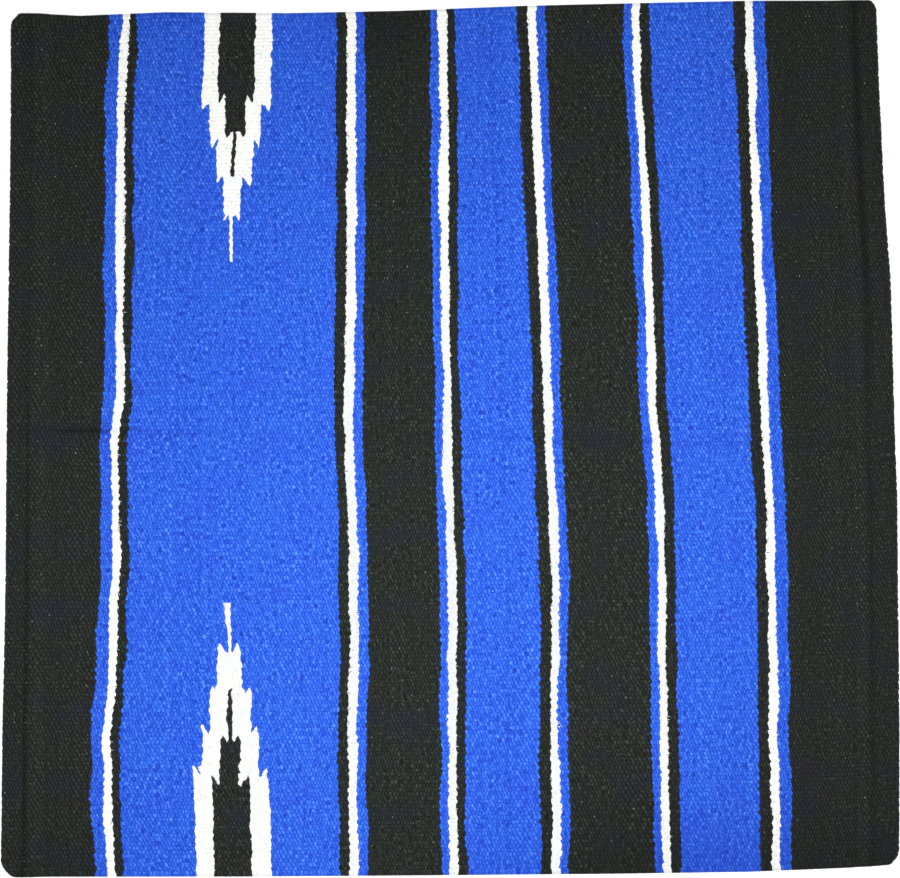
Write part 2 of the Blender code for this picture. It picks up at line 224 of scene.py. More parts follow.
# How dark the shade painted along the stitch lines is, from the off side to the near side, and how far that
# reaches beside them
GROOVE_PAINTED_SHADE = {"rear": (1.0, 1.0, 0.5, 0.2, 0.35), "front": (0.3, 0.35, 0.3, 0.85, 0.75)}
GROOVE_SHADE_WIDTHS = {"rear": 0.002, "front": 0.0034}
CORNER_RADII = {"rear": {"off": 0.02, "near": 0.0155}, "front": {"off": 0.0155, "near": 0.0115}}

# The fold line across the cloth: its place at the rear and front edge, its half width, its depth, and how
# dark the shade painted along it is
CREASE_Y = (0.010, -0.007)
CREASE_HALF_WIDTH = 0.0032
CREASE_DEPTH = 0.0007
CREASE_PAINTED_SHADE = 0.85
# How clearly the fold line shows along the spine, rear to front
CREASE_PLACES_PX = (0, 50, 75, 105, 130, 300, 330, 430, 560, 640, 780, 830, 898)
CREASE_SHARES = (0.2, 0.4, 0.9, 1.0, 0.3, 0.08, 0.1, 0.25, 0.2, 0.15, 0.25, 0.35, 0.15)

# Shade painted near the cloth's edges and corners: the middle and the reach of each place in the photograph,
# and how much
EDGE_PAINTED_SHADE_PX = (
    (660, 890, 160, 76, 0.48),
    (880, 880, 90, 44, 0.3),
    (150, 6, 70, 34, 0.2),
    (385, 14, 60, 46, 0.35),
    (60, 862, 80, 60, 0.12),
)

# How much of the steps between two colours is evened out, at the least and at the most
EDGE_SOFTENING = (-0.1, 1.0)
# How much the beads differ in tone, and how much in the borders, how much whole picks do, how much of the
# beads' is evened out by their neighbours, and how many rows and picks these are
TONE_SPREAD = 0.225
BORDER_TONE_SPREAD = 0.12
PICK_TONE_SPREAD = 0.05
TONE_EVENING = 0.8
TONE_REACH = (3, 7)
# How many rows and picks a bend in the picks and a bend in the cords reach over
DRIFT_REACH = (15, 13)
CORD_DRIFT_REACH = (9, 31)
# The picks at the turned-under ends lie straight, and bend fully from this many picks on
DRIFT_START = 8
# How many steps the weft takes round a selvedge
SELVEDGE_STEPS = 4
# The map of baked colours, in shares of its side: how far the selvedges' turns reach, how wide each sheet is,
# the gap between the sheets, where the walls between them start and how wide they are, the spot with the
# fibres, and how much of a tube's place is its turn round the tube
BAKE_EDGE = 0.01
BAKE_SHEET = 0.47
BAKE_GAP = 0.005
BAKE_WALLS = 0.95
BAKE_WALLS_WIDTH = 0.02
BAKE_SPOT = (0.98, 0.5)
BAKE_SPOT_SIZE = 0.01
BAKE_TURN = 0.1
# How far the underside's pattern is moved from the face's, so that the two differ
BACK_SHIFT = 1.5

# The corners of a bead's edge, as rows and picks from its first one
BEAD_CORNERS = ((0, 0), (0, 1), (0, 2), (1, 0), (1, 1), (1, 2))
# How far the line between two rows of beads swings to either side, in cords, and how much of that is left at
# the selvedge
ZIGZAG_REACH = 1 / 6
SELVEDGE_ZIGZAG_SHARE = 0.1
# How far a bead's ridge reaches to either side of its middle, in cords, and the spreads of that, of the
# beads' rise and of their lean
RIDGE_HALF = 0.27
RIDGE_SPREAD = 0.05
RISE_SPREAD = 0.2
LEAN_SPREAD = 0.6
# How alike a pick is to each of its neighbours in width, and how much wider or narrower it is at the most
PICK_KINSHIP = np.full(9, 0.15)
PICK_SPREAD_LIMIT = 0.4
# The shade painted on the weft that turns round a selvedge, as how much of the beads' crown shows, on every
# second pick
SELVEDGE_SHADES = np.array((0.7, 0.9))

# The floor reaches this far to every side, and lies this far under the cloth
FLOOR_REACH = 6.0
FLOOR_GAP = 0.0003
# Where the soft box hangs, seen from above
LAMP_PLACE = (-0.008, -0.13)
# A camera holds white back where a lamp is bright. Here the white yarn is toned down there instead: how far
# from the lamp its light has fallen to a quarter, the share of its light at which this starts, and the
# yarn's tone in full light
GLARE_REACH = 0.8
GLARE_START = 0.415
GLARE_TONE = (0.67, 0.68, 0.715, 1)

CLOTH_LOW, CLOTH_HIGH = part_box("middle_blue_band_near")
CLOTH_HALF = (CLOTH_HIGH.z - CLOTH_LOW.z) / 2
HEM_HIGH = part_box("rear_border_near")[1].z - HEM_HALF


def photo_x(px):
    return (np.asarray(px, float) - PHOTO_MIDDLE_X) * PIXEL


def photo_y(px):
    return (PHOTO_MIDDLE_Y - np.asarray(px, float)) * PIXEL


def linear(hex_colour):
    """The linear RGBA of an sRGB hex colour."""
    channels = [int(hex_colour[i : i + 2], 16) / 255 for i in (1, 3, 5)]
    return tuple(c / 12.92 if c <= 0.04045 else ((c + 0.055) / 1.055) ** 2.4 for c in channels) + (1.0,)


def spread_out(values, reach):
    """Each value of a grid as the mean of its neighbours, over this many rows and columns."""
    for axis, width in enumerate(reach):
        kernel = np.hanning(width + 2)
        values = np.apply_along_axis(np.convolve, axis, values, kernel / kernel.sum(), "same")
    return values


def nearest_on(line, points):
    """The point of a line of straight runs that is nearest to each point."""
    run = np.diff(line, axis=0)
    share = np.clip(((points[:, None] - line[:-1]) * run).sum(-1) / (run**2).sum(-1), 0, 1)
    places = line[:-1] + share[..., None] * run
    nearest = ((points[:, None] - places) ** 2).sum(-1).argmin(axis=1)
    return places[np.arange(len(points)), nearest]


def along_hem(values, f):
    """A value of a hem that is given at even steps from the off side to the near side."""
    return np.interp(f, np.linspace(0, 1, len(values)), values)


def colour_property(name, description, hex_colour):
    return FloatVectorProperty(
        name=name, description=description, default=linear(hex_colour), size=4, min=0, max=1, subtype="COLOR"
    )


def length_property(name, description, default):
    return FloatProperty(
        name=name, description=description, default=default, min=0, precision=5, unit="LENGTH"
    )


class WeaveSizes(PropertyGroup):
    """Sizes of the weave."""

    cord_pitch: length_property("Cord pitch", "From one warp cord to the next", 0.00392)
    crowding: FloatProperty(
        name="Crowding", description="How much closer cords lie at the near side", default=0.043
    )
    pick_pitch: length_property("Pick pitch", "From one pick of weft to the next in a narrow line", 0.0015)
    bead_rise: length_property("Bead rise", "How far a bead stands above the hollows round it", 0.0010)
    bead_lean: length_property("Bead lean", "How far the yarn's twist leans a bead's ends aside", 0.0007)
    unevenness: length_property("Unevenness", "How far hand beating moves a bead", 0.00028)
    drift: length_property("Drift", "How far hand beating bends the picks", 0.0007)
    cord_drift: length_property("Cord drift", "How far the cords bend", 0.0003)
    pick_spread: FloatProperty(name="Pick spread", description="How much picks differ in width", default=0.12)
    wander: length_property("Wander", "How far a colour line wanders from its course", 0.0003)
    selvedge_bulge: length_property("Selvedge bulge", "How far the weft stands out at its turns", 0.0021)


class YarnColours(PropertyGroup):
    """Colours of the yarns, each as it looks in even light."""

    # Each deep colour is the yarn's dark fibres, and also the shade painted between its beads, at the fold
    # line, along the stitches and near the cloth's edges
    blue: colour_property("Blue yarn", "Royal blue weft", "#2B6CEF")
    blue_light: colour_property("Blue fleck", "Light fibres of the blue weft", "#6098FD")
    blue_deep: colour_property("Blue depth", "Blue weft between the beads", "#0B2BA0")
    black: colour_property("Black yarn", "Black weft", "#252D26")
    black_light: colour_property("Black fleck", "Light fibres of the black weft", "#465048")
    black_deep: colour_property("Black depth", "Black weft between the beads", "#0B0D0B")
    white: colour_property("White yarn", "Bleached white weft", "#FDFEFC")
    white_light: colour_property("White fleck", "Light fibres of the white weft", "#FFFFFE")
    white_deep: colour_property("White depth", "White weft between the beads", "#E4E6E0")
    cord: colour_property("Warp cord", "Undyed cotton", "#D8CFBC")
    thread: colour_property("Hem thread", "Black sewing thread", "#0A0B0A")


class StageSettings(PropertyGroup):
    """Camera, light and floor."""

    camera_height: length_property("Camera height", "Height of the camera over the floor", 5.0)
    lamp_height: length_property("Lamp height", "Height of the soft box over the floor", 0.8)
    lamp_length: length_property("Lamp length", "Long side of the soft box", 0.93)
    lamp_width: length_property("Lamp width", "Short side of the soft box", 0.7)
    lamp_turn: FloatProperty(
        name="Lamp turn", description="Turn of the soft box", default=0.62, subtype="ANGLE"
    )
    lamp_power: FloatProperty(
        name="Lamp power", description="Power of the soft box", default=9.9, unit="POWER"
    )
    sky: FloatProperty(name="Sky", description="Strength of the even light from all round", default=0.46)
    floor: colour_property("Floor", "Frosted white acrylic", "#FAFAFA")
    floor_glow: FloatProperty(
        name="Floor glow", description="Light that comes up through the floor", default=0.65
    )


class Weave:
    """The picks and cords of the whole cloth, and where each point of them lies.

    A place in the weave is (c, f): c counts picks from the rear hem's turned-under end to the front hem's,
    and f is the share of the way from the off selvedge to the near one.
    """

    def __init__(self, sizes):
        self.sizes = sizes
        self.random = np.random.default_rng(SEED)
        self.inset = sizes.selvedge_bulge + ZIGZAG_REACH * sizes.cord_pitch
        width = photo_y(SELVEDGES_PX["near"][0][1]) - photo_y(SELVEDGES_PX["off"][0][1])
        self.cords = round((width - 2 * self.inset) / sizes.cord_pitch)
        self.grid = np.linspace(0, 1, 2 * self.cords + 1)
        self.lay_bands()
        self.place_beads()
        self.place_points()

    def selvedge(self, side, x):
        places, values = zip(*SELVEDGES_PX[side])
        return np.interp(x, photo_x(places), photo_y(values))

    def across(self, x, f):
        """Y of a place this far across the cloth."""
        off = self.selvedge("off", x) + self.inset
        near = self.selvedge("near", x) - self.inset
        return off + f * (near - off)

    def cord_place(self, row):
        """The share of the way across the cloth of a row's number, which may lie between two rows."""
        share = row / self.cords
        return share + self.sizes.crowding * share * (1 - share)

    def smooth_noise(self, shape, reach):
        """Random values of spread 1 over the weave, whose swells are this many rows and picks across."""
        noise = spread_out(self.random.normal(size=shape), reach)
        return noise / noise.std()

    def guide(self, line, offset=0.0, wander=0.0):
        """X of a line across the cloth, at each step of the grid."""
        rows = photo_y(GUIDE_ROWS_PX)[::-1]
        places = photo_x(GUIDES_PX[line])[::-1]
        shifts = GUIDE_EASING * GUIDE_EASING_SHARES
        x = np.full_like(self.grid, places.mean())
        for _ in range(GUIDE_ROUNDS):
            y = self.across(x, self.grid)
            eased = [np.interp(y + shift, rows, places) for shift in shifts]
            x = np.mean(eased, axis=0) + offset
        if wander:
            for waves in WANDER_WAVES:
                phase = self.random.uniform(0, 2 * math.pi)
                height = wander * self.random.uniform(*WANDER_SHARES)
                x = x + height * np.sin(2 * math.pi * waves * self.grid + phase)
        return x

    def lay_bands(self):
        """Lists the bands rear to front, and gives each a whole number of picks."""
        wander = self.sizes.wander
        names, yarns, lines = ["rear_border"], ["black"], []
        for number, (line, rear_yarn, rear, white, front_yarn, front) in enumerate(STRIPES):
            middle = self.guide(line, 0.0, wander)
            for offset in (-white / 2 - rear, -white / 2, white / 2, white / 2 + front):
                own = self.guide(line, offset, wander) - self.guide(line)
                lines.append(middle + own)
            names += [line + "_" + rear_yarn, line + "_white", line + "_" + front_yarn]
            yarns += [rear_yarn, "white", front_yarn]
            if number < len(WIDE_BANDS):
                names.append(WIDE_BANDS[number][0])
                yarns.append(WIDE_BANDS[number][1])
        names.append("front_border")
        yarns.append("black")
        self.names, self.yarns, self.lines = names, yarns, np.array(lines)
        self.edges = {"rear": self.guide("rear_edge"), "front": self.guide("front_edge")}
        self.pulls = {end: self.corner_pull(end) for end in self.edges}
        flat = {"rear": lines[0] - self.edges["rear"], "front": self.edges["front"] - lines[-1]}
        self.lengths = {}
        for end, run in flat.items():
            turn = HEM_HALF + HEM_TURN + self.pulls[end]
            self.lengths[end] = (TURNED_END - turn) + math.pi * HEM_TURN + (run - turn)
        widths = [self.lengths["rear"].mean()]
        widths += list(np.diff(self.lines, axis=0).mean(axis=1))
        widths.append(self.lengths["front"].mean())
        pitches = [PICK_PITCHES.get(name, self.sizes.pick_pitch) for name in names]
        self.picks = np.array([round(width / pitch) for width, pitch in zip(widths, pitches)])
        self.starts = np.concatenate([[0], np.cumsum(self.picks)])
        self.count = int(self.starts[-1])
        self.widths = dict(zip(names, widths))
        spread = self.random.normal(size=self.count)
        spread = self.sizes.pick_spread * (spread + np.convolve(spread, PICK_KINSHIP, "same"))
        spread = np.clip(spread, -PICK_SPREAD_LIMIT, PICK_SPREAD_LIMIT)
        self.reach = np.concatenate([[0], np.cumsum(1 + spread)])
        self.laid = np.interp(self.reach, self.reach[self.starts], np.concatenate([[0], np.cumsum(widths)]))

    def laid_at(self, c):
        """How far along the cloth a pick lies, laid out flat, from the rear hem's turned-under end."""
        return np.interp(c, np.arange(self.count + 1), self.laid)

    def corner_pull(self, end):
        """How far a rounded corner draws this end's fold in, at each step of the grid."""
        pull = np.zeros_like(self.grid)
        span = self.cords * self.sizes.cord_pitch
        for side, share in (("off", self.grid), ("near", 1 - self.grid)):
            radius = CORNER_RADII[end][side]
            short = np.clip(radius - (self.inset + share * span), 0, radius)
            pull += radius - np.sqrt(radius**2 - short**2)
        return pull

    def corner_bulge(self, side, x):
        """How far the weft stands out of a selvedge at each x: less and less round a rounded corner."""
        row = 0.0 if side == "off" else 1.0
        bulge = np.full_like(x, self.sizes.selvedge_bulge)
        for end, edge in self.edges.items():
            radius = CORNER_RADII[end][side]
            short = np.clip(radius - np.abs(x - np.interp(row, self.grid, edge)), 0, radius)
            room = self.inset - (radius - np.sqrt(radius**2 - short**2))
            bulge = np.minimum(bulge, np.clip(room, 0, None))
        return bulge

    def hem_section(self, end, run, f):
        """A hem's section this far from its turned-under end.

        Gives the distance from the edge, the normal's two parts, half the thickness and the middle's height.
        """
        turn = HEM_HALF + HEM_TURN + np.interp(f, self.grid, self.pulls[end])
        under = TURNED_END - turn
        arc = math.pi * HEM_TURN
        angle = np.clip((run - under) / HEM_TURN, 0, math.pi)
        above = run > under + arc
        below = run < under
        reach = np.where(above, turn + run - under - arc, turn - HEM_TURN * np.sin(angle))
        reach = np.where(below, TURNED_END - run, reach)
        dip = along_hem(GROOVE_DIPS[end], f)
        stitches = along_hem(STITCH_LINES[end], f)

        def profile(u):
            down = np.clip((u - TURNED_END) / HEM_SLOPE, 0, 1)
            down = down * down * (3 - 2 * down)
            groove = np.clip(1 - np.abs(u - stitches) / (GROOVE_WIDTH / 2), 0, 1)
            groove = groove * groove * (3 - 2 * groove)
            high = HEM_HIGH + (CLOTH_HALF - HEM_HIGH) * down
            half = HEM_HALF + (CLOTH_HALF - HEM_HALF) * down
            return high, half, groove

        high, half, groove = profile(reach)
        ahead = profile(reach + PIXEL)[0]
        slope = np.arctan2(high - ahead, PIXEL)
        z = np.where(above, high, HEM_HALF + HEM_TURN * (1 - np.cos(angle)))
        out = np.where(above, np.sin(slope), -np.sin(angle))
        up = np.where(above, np.cos(slope), -np.cos(angle))
        half = np.where(above, half, HEM_HALF)
        groove = np.where(above | below, groove, 0)
        half = half - GROOVE_SQUEEZE_SHARE * dip * groove
        z = z - np.where(above, (1 - GROOVE_SQUEEZE_SHARE) * dip * groove, 0)
        return reach, out, up, half, z

    def surface(self, c, f):
        """(middle point, unit normal, half thickness) of a place in the weave."""
        c = np.clip(c, 0, self.count)
        last = len(self.starts) - 2
        band = np.clip(np.searchsorted(self.starts, c, side="right") - 1, 0, last)
        ends = self.reach[self.starts]
        share = (np.interp(c, np.arange(self.count + 1), self.reach) - ends[band]) / np.diff(ends)[band]
        x, z = np.zeros_like(c), np.full_like(c, CLOTH_HALF)
        out, up, half = np.zeros_like(c), np.ones_like(c), np.full_like(c, CLOTH_HALF)
        for number in range(last + 1):
            here = band == number
            if not here.any():
                continue
            at, part = f[here], share[here]
            if 0 < number < last:
                rear = np.interp(at, self.grid, self.lines[number - 1])
                front = np.interp(at, self.grid, self.lines[number])
                x[here] = rear + (front - rear) * part
                continue
            end, sign = ("rear", 1) if number == 0 else ("front", -1)
            run = np.interp(at, self.grid, self.lengths[end]) * (part if number == 0 else 1 - part)
            reach, hem_out, hem_up, hem_half, hem_z = self.hem_section(end, run, at)
            x[here] = np.interp(at, self.grid, self.edges[end]) + sign * reach
            z[here], half[here] = hem_z, hem_half
            out[here], up[here] = sign * hem_out, hem_up
        y = self.across(x, f)
        return np.stack([x, y, z], -1), np.stack([out, np.zeros_like(out), up], -1), half

    def crease(self, points):
        """How much of the fold line is at each point, from 0 to 1."""
        x, y = points[..., 0], points[..., 1]
        middle = np.interp(x, photo_x((CLOTH_LEFT_PX, CLOTH_RIGHT_PX)), CREASE_Y)
        strength = np.interp(x, photo_x(CREASE_PLACES_PX), CREASE_SHARES)
        return strength * np.exp(-(((y - middle) / CREASE_HALF_WIDTH) ** 2))

    def painted_shade_at(self, points, c, f):
        """How much shade is painted on a point, from 0 to 1: at the fold line, at the stitches and near the
        edges.
        """
        dark = CREASE_PAINTED_SHADE * self.crease(points)
        for end in ("rear", "front"):
            edge = np.interp(f, self.grid, self.edges[end])
            depth = np.abs(points[..., 0] - edge)
            aside = (depth - along_hem(STITCH_LINES[end], f)) / GROOVE_SHADE_WIDTHS[end]
            dark = np.maximum(dark, along_hem(GROOVE_PAINTED_SHADE[end], f) * np.exp(-(aside**2)))
        for across, down, reach_across, reach_down, strength in EDGE_PAINTED_SHADE_PX:
            aside = (points[..., 0] - photo_x(across)) / (reach_across * PIXEL)
            ahead = (points[..., 1] - photo_y(down)) / (reach_down * PIXEL)
            dark = dark + (1 - dark) * strength * np.exp(-(aside**2) - ahead**2)
        return dark

    def linted(self, points, f):
        """How much more lint there is than elsewhere: most along the rear hem, where the layers step down."""
        depth = points[..., 0] - np.interp(f, self.grid, self.edges["rear"])
        return LINT_GAIN * np.exp(-(((depth - LINT_LINE) / LINT_REACH) ** 2))

    def glare(self, points):
        """How much the lamp makes white yarn glare, from 0 to 1."""
        aside = (points[..., :2] - np.array(LAMP_PLACE)) / GLARE_REACH
        light = 1 / (1 + (aside**2).sum(axis=-1)) ** 2
        return np.clip((light - GLARE_START) / (1 - GLARE_START), 0, 1)

    def layer(self, c, f, drop, side):
        """Points this far under the cloth's face (side 1) or over its underside (side -1)."""
        middle, normal, half = self.surface(c, f)
        drop = drop * (1 - FOLD_TIGHTNESS * np.abs(normal[..., 0]))
        if side > 0:
            drop = drop + CREASE_DEPTH * self.crease(middle)
        return middle + side * normal * (half - drop)[..., None]

    def place_beads(self):
        """Lists the beads of the face, and which piece of cloth each belongs to."""
        row, pick = np.meshgrid(np.arange(self.cords), np.arange(self.count), indexing="ij")
        shown = (row + pick) % 2 == 0
        self.bead_row, self.bead_pick = row[shown], pick[shown]
        self.bead_count = len(self.bead_row)
        middle, _, _ = self.surface(self.bead_pick + 0.5, self.cord_place(self.bead_row + 0.5))
        self.bead_places = middle[:, :2]
        self.owner = np.searchsorted(self.starts, self.bead_pick, side="right") - 1
        self.outlines = {}
        for side in ("near", "off"):
            for shape in ("arrow", "core"):
                across, down = zip(*ARROWS_PX[side][shape])
                line = np.stack((photo_x(across), photo_y(down)), -1)
                self.outlines[len(self.names)] = line
                self.owner[self.in_outline(line)] = len(self.names)
                self.names.append({"arrow": "arrow_", "core": "arrow_core_"}[shape] + side)
                self.yarns.append({"arrow": "white", "core": "black"}[shape])

    def soften_edges(self, c, f):
        """Evens out the steps of the line where two colours meet, as the yarns' fibres do in the cloth."""
        owner = np.full((self.cords + 2, self.count + 4), -1)
        owner[self.bead_row + 1, self.bead_pick + 2] = self.owner
        i, k = self.bead_row, self.bead_pick
        joined = np.zeros(c.shape + (3,))
        sides = ((-1, -1, (0, 0), (0, 1)), (-1, 1, (0, 1), (0, 2)), (0, 2, (0, 2), (1, 2)))
        for row_step, pick_step, *ends in sides:
            other = owner[i + 1 + row_step, k + 2 + pick_step]
            border = (other >= 0) & (other != self.owner)
            first, second = ((i[border] + row, k[border] + pick) for row, pick in ends)
            for here, there in ((first, second), (second, first)):
                np.add.at(joined, here, np.stack((c[there], f[there], np.ones(len(c[there]))), -1))
        between = joined[..., 2] == 2
        share = self.random.uniform(*EDGE_SOFTENING, between.sum())
        for place, values in enumerate((c, f)):
            values[between] += share * (joined[between][:, place] / 2 - values[between])

    def place_points(self):
        """Lays out every vertex: zigzag lines between rows, the beads' ridges and the selvedges' turns."""
        rows, columns = self.cords + 1, self.count + 2
        self.columns = columns
        sizes, random = self.sizes, self.random
        i, j = np.meshgrid(np.arange(rows), np.arange(columns), indexing="ij")
        jitter = sizes.unevenness / sizes.pick_pitch
        row_jitter = sizes.unevenness / sizes.cord_pitch
        at_selvedge = (i == 0) | (i == rows - 1)
        zigzag = ZIGZAG_REACH * np.where((i + j) % 2 == 0, 1, -1)
        inner = np.where(at_selvedge, SELVEDGE_ZIGZAG_SHARE, 1.0)
        still = np.clip(np.minimum(j, columns - 1 - j) / DRIFT_START, 0, 1)
        pick_drift = sizes.drift / sizes.pick_pitch * still * self.smooth_noise(i.shape, DRIFT_REACH)
        cord_drift = sizes.cord_drift / sizes.cord_pitch * self.smooth_noise(i.shape, CORD_DRIFT_REACH)
        cord_drift *= np.clip(np.minimum(i, rows - 1 - i) / 2, 0, 1)
        line_c = j - 0.5 + pick_drift + jitter * random.normal(size=i.shape)
        line_f = i + cord_drift + inner * (zigzag + row_jitter * random.normal(size=i.shape))
        self.soften_edges(line_c, line_f)
        moved = np.stack((line_c, line_f))
        self.fit_outlines(line_c, line_f)
        moved = np.stack((line_c, line_f)) - moved
        line_f = self.cord_place(line_f)
        line_drop = sizes.bead_rise * (1 + RISE_SPREAD * random.normal(size=i.shape))
        lean = sizes.bead_lean / sizes.pick_pitch
        parts = {"c": [], "f": [], "points": [], "level": [], "shade": []}

        def add(c, f, points, level, shade):
            for name, value in (("c", c), ("f", f), ("level", level), ("shade", shade)):
                parts[name].append(np.broadcast_to(value, c.shape).ravel())
            parts["points"].append(points.reshape(-1, 3))

        # The shade grade is painted shade: 0 in the hollows on the lines between rows, 1 on the beads' ridges
        faces = {}
        for side in (1, -1):
            points = self.layer(line_c, line_f, line_drop, side)
            faces[side] = points
            add(line_c, line_f, points, 0 if side > 0 else SELVEDGE_STEPS, 0.0)
        middles = ((self.bead_row, self.bead_pick + 1), (self.bead_row + 1, self.bead_pick + 1))
        corners = [(slice(None), self.bead_row + row, self.bead_pick + pick) for row, pick in BEAD_CORNERS]
        with_edge = sum(moved[corner] for corner in corners) / len(corners)
        bead_c = self.bead_pick + 0.5 + sum(pick_drift[place] for place in middles) / 2 + with_edge[0]
        bead_f = self.bead_row + 0.5 + sum(cord_drift[place] for place in middles) / 2 + with_edge[1]
        for side in (1, -1):
            for end in (-1, 1):
                c = bead_c - end * lean * (1 + LEAN_SPREAD * random.normal(size=self.bead_count))
                c = c + jitter * random.normal(size=self.bead_count)
                half_ridge = RIDGE_HALF + RIDGE_SPREAD * random.normal(size=self.bead_count)
                f = self.cord_place(bead_f + end * half_ridge)
                drop = sizes.bead_rise * RISE_SPREAD * np.abs(random.normal(size=self.bead_count))
                add(c, f, self.layer(c, f, drop, side), 0 if side > 0 else SELVEDGE_STEPS, 1.0)
        for row, side, outward in ((0, "off", -1), (rows - 1, "near", 1)):
            high, low = faces[1][row], faces[-1][row]
            bulge = self.corner_bulge(side, (high + low)[:, 0] / 2)
            for step in range(1, SELVEDGE_STEPS):
                angle = math.pi * step / SELVEDGE_STEPS
                points = (high + low) / 2 + (high - low) / 2 * math.cos(angle)
                points[:, 1] += outward * bulge * math.sin(angle)
                add(line_c[row], line_f[row], points, step, SELVEDGE_SHADES[np.arange(columns) % 2])
        self.c, self.f, self.level, self.shade = (
            np.concatenate(parts[name]) for name in ("c", "f", "level", "shade")
        )
        self.points = np.concatenate(parts["points"])
        self.back = rows * columns
        self.ridges = 2 * self.back
        self.rings = self.ridges + 4 * self.bead_count
        tones = np.zeros((self.cords, self.count))
        tones[self.bead_row, self.bead_pick] = random.normal(size=self.bead_count)
        tones = tones - 2 * TONE_EVENING * spread_out(tones, TONE_REACH)
        in_border = (self.bead_pick < self.starts[1]) | (self.bead_pick >= self.starts[-2])
        spread = np.where(in_border, BORDER_TONE_SPREAD, TONE_SPREAD)
        self.bead_tone = 0.5 + spread * tones[self.bead_row, self.bead_pick]
        pick_tone = random.normal(size=self.count)
        self.bead_tone += PICK_TONE_SPREAD * pick_tone[self.bead_pick]
        self.painted_shade = self.painted_shade_at(self.points, self.c, self.f)
        self.lint = self.linted(self.points, self.f)

    def in_outline(self, line):
        """Which beads of the field of the motifs have their middle inside an outline."""
        x, y = self.bead_places.T
        inside = np.zeros(self.bead_count, bool)
        for (x1, y1), (x2, y2) in zip(line, np.roll(line, -1, axis=0)):
            beside = (y1 > y) != (y2 > y)
            inside[beside] ^= x[beside] < x1 + (x2 - x1) * (y[beside] - y1) / (y2 - y1)
        field = self.names.index("motif_field")
        return inside & (self.bead_pick >= self.starts[field]) & (self.bead_pick < self.starts[field + 1])

    def fit_outlines(self, c, f):
        """Draws the edges of the arrows and cores on to their outlines, and their corners all the way."""
        low, high = np.full(c.shape, len(self.names)), np.full(c.shape, -1)
        for row, pick in BEAD_CORNERS:
            place = (self.bead_row + row, self.bead_pick + pick)
            np.minimum.at(low, place, self.owner)
            np.maximum.at(high, place, self.owner)
        pitches = np.array((PICK_PITCHES["motif_field"], self.sizes.cord_pitch))
        for number, line in self.outlines.items():
            border = (high == number) & (low < number)
            points = self.surface(c[border], self.cord_place(f[border]))[0][:, :2]
            pull = OUTLINE_FIT * (nearest_on(line, points) - points)
            run = np.diff(line, axis=0)
            turn = np.abs(np.diff(np.unwrap(np.arctan2(run[:, 1], run[:, 0]))))
            for corner in line[1:-1][turn > SHARP_TURN]:
                nearest = ((points - corner) ** 2).sum(axis=1).argmin()
                pull[nearest] = corner - points[nearest]
            pull = np.clip(pull / pitches, *np.outer((-1, 1), OUTLINE_PULL))
            c[border] += pull[:, 0]
            f[border] += pull[:, 1]

    def ring_points(self, line_points, step):
        """The vertices of a selvedge's turn that lie this many steps round from a face line's vertices."""
        if step == 0:
            return line_points
        if step == SELVEDGE_STEPS:
            return line_points + self.back
        row, column = np.divmod(line_points, self.columns)
        start = self.rings + np.where(row == 0, 0, (SELVEDGE_STEPS - 1) * self.columns)
        return start + (step - 1) * self.columns + column

    def polygons(self, chosen):
        """The closed mesh of some beads: a list of (vertex numbers, sheet, tone) for each kind of face.

        A sheet is 0 on the face, 1 on the underside and 2 on the walls between them.
        """
        i, k = self.bead_row[chosen], self.bead_pick[chosen]
        bead = np.flatnonzero(chosen)
        tone = self.bead_tone[chosen]
        lower = i * self.columns + k
        upper = lower + self.columns
        a, b, c = lower, lower + 1, lower + 2
        g, e, d = upper, upper + 1, upper + 2
        found = []
        for sheet, shift in ((0, 0), (1, self.back)):
            p = self.ridges + (2 * sheet) * self.bead_count + bead
            q = p + self.bead_count
            rim = [v + shift for v in (a, b, c, d, e, g)]
            shapes = (
                (rim[0], rim[1], p),
                (rim[1], rim[2], p),
                (rim[2], rim[3], q, p),
                (rim[3], rim[4], q),
                (rim[4], rim[5], q),
                (rim[5], rim[0], p, q),
            )
            for shape in shapes:
                shape = np.stack(shape if sheet == 0 else shape[::-1], 1)
                found.append((shape, sheet, tone))

        filled = np.zeros((self.cords + 2, self.count + 4), bool)
        filled[i + 1, k + 2] = True
        sides = ((-1, -1, a, b), (-1, 1, b, c), (0, 2, c, d), (1, 1, d, e), (1, -1, e, g), (0, -2, g, a))
        turns = []
        for row_step, pick_step, first, second in sides:
            bare = ~filled[i + 1 + row_step, k + 2 + pick_step]
            at_selvedge = (i + row_step < 0) | (i + row_step >= self.cords)
            wall = bare & ~at_selvedge
            v1, v2 = first[wall], second[wall]
            found.append((np.stack((v2, v1, v1 + self.back, v2 + self.back), 1), 2, np.full(len(v1), 0.5)))
            turn = bare & at_selvedge
            turns.append(np.stack((first[turn], second[turn], bead[turn]), 1))
        turns = np.concatenate(turns)
        v1, v2, tone = turns[:, 0], turns[:, 1], self.bead_tone[turns[:, 2]]
        for step in range(SELVEDGE_STEPS):
            near, far = self.ring_points(v1, step), self.ring_points(v1, step + 1)
            shape = np.stack((self.ring_points(v2, step), near, far, self.ring_points(v2, step + 1)), 1)
            found.append((shape, int(step >= SELVEDGE_STEPS / 2), tone))
        steps = range(SELVEDGE_STEPS + 1)
        begins, stops = np.setdiff1d(v1, v2), np.setdiff1d(v2, v1)
        for tips, order in ((begins, steps[::-1]), (stops, steps)):
            shape = np.stack([self.ring_points(tips, step) for step in order], 1)
            found.append((shape, 2, np.full(len(tips), 0.5)))
        return [group for group in found if len(group[0])]

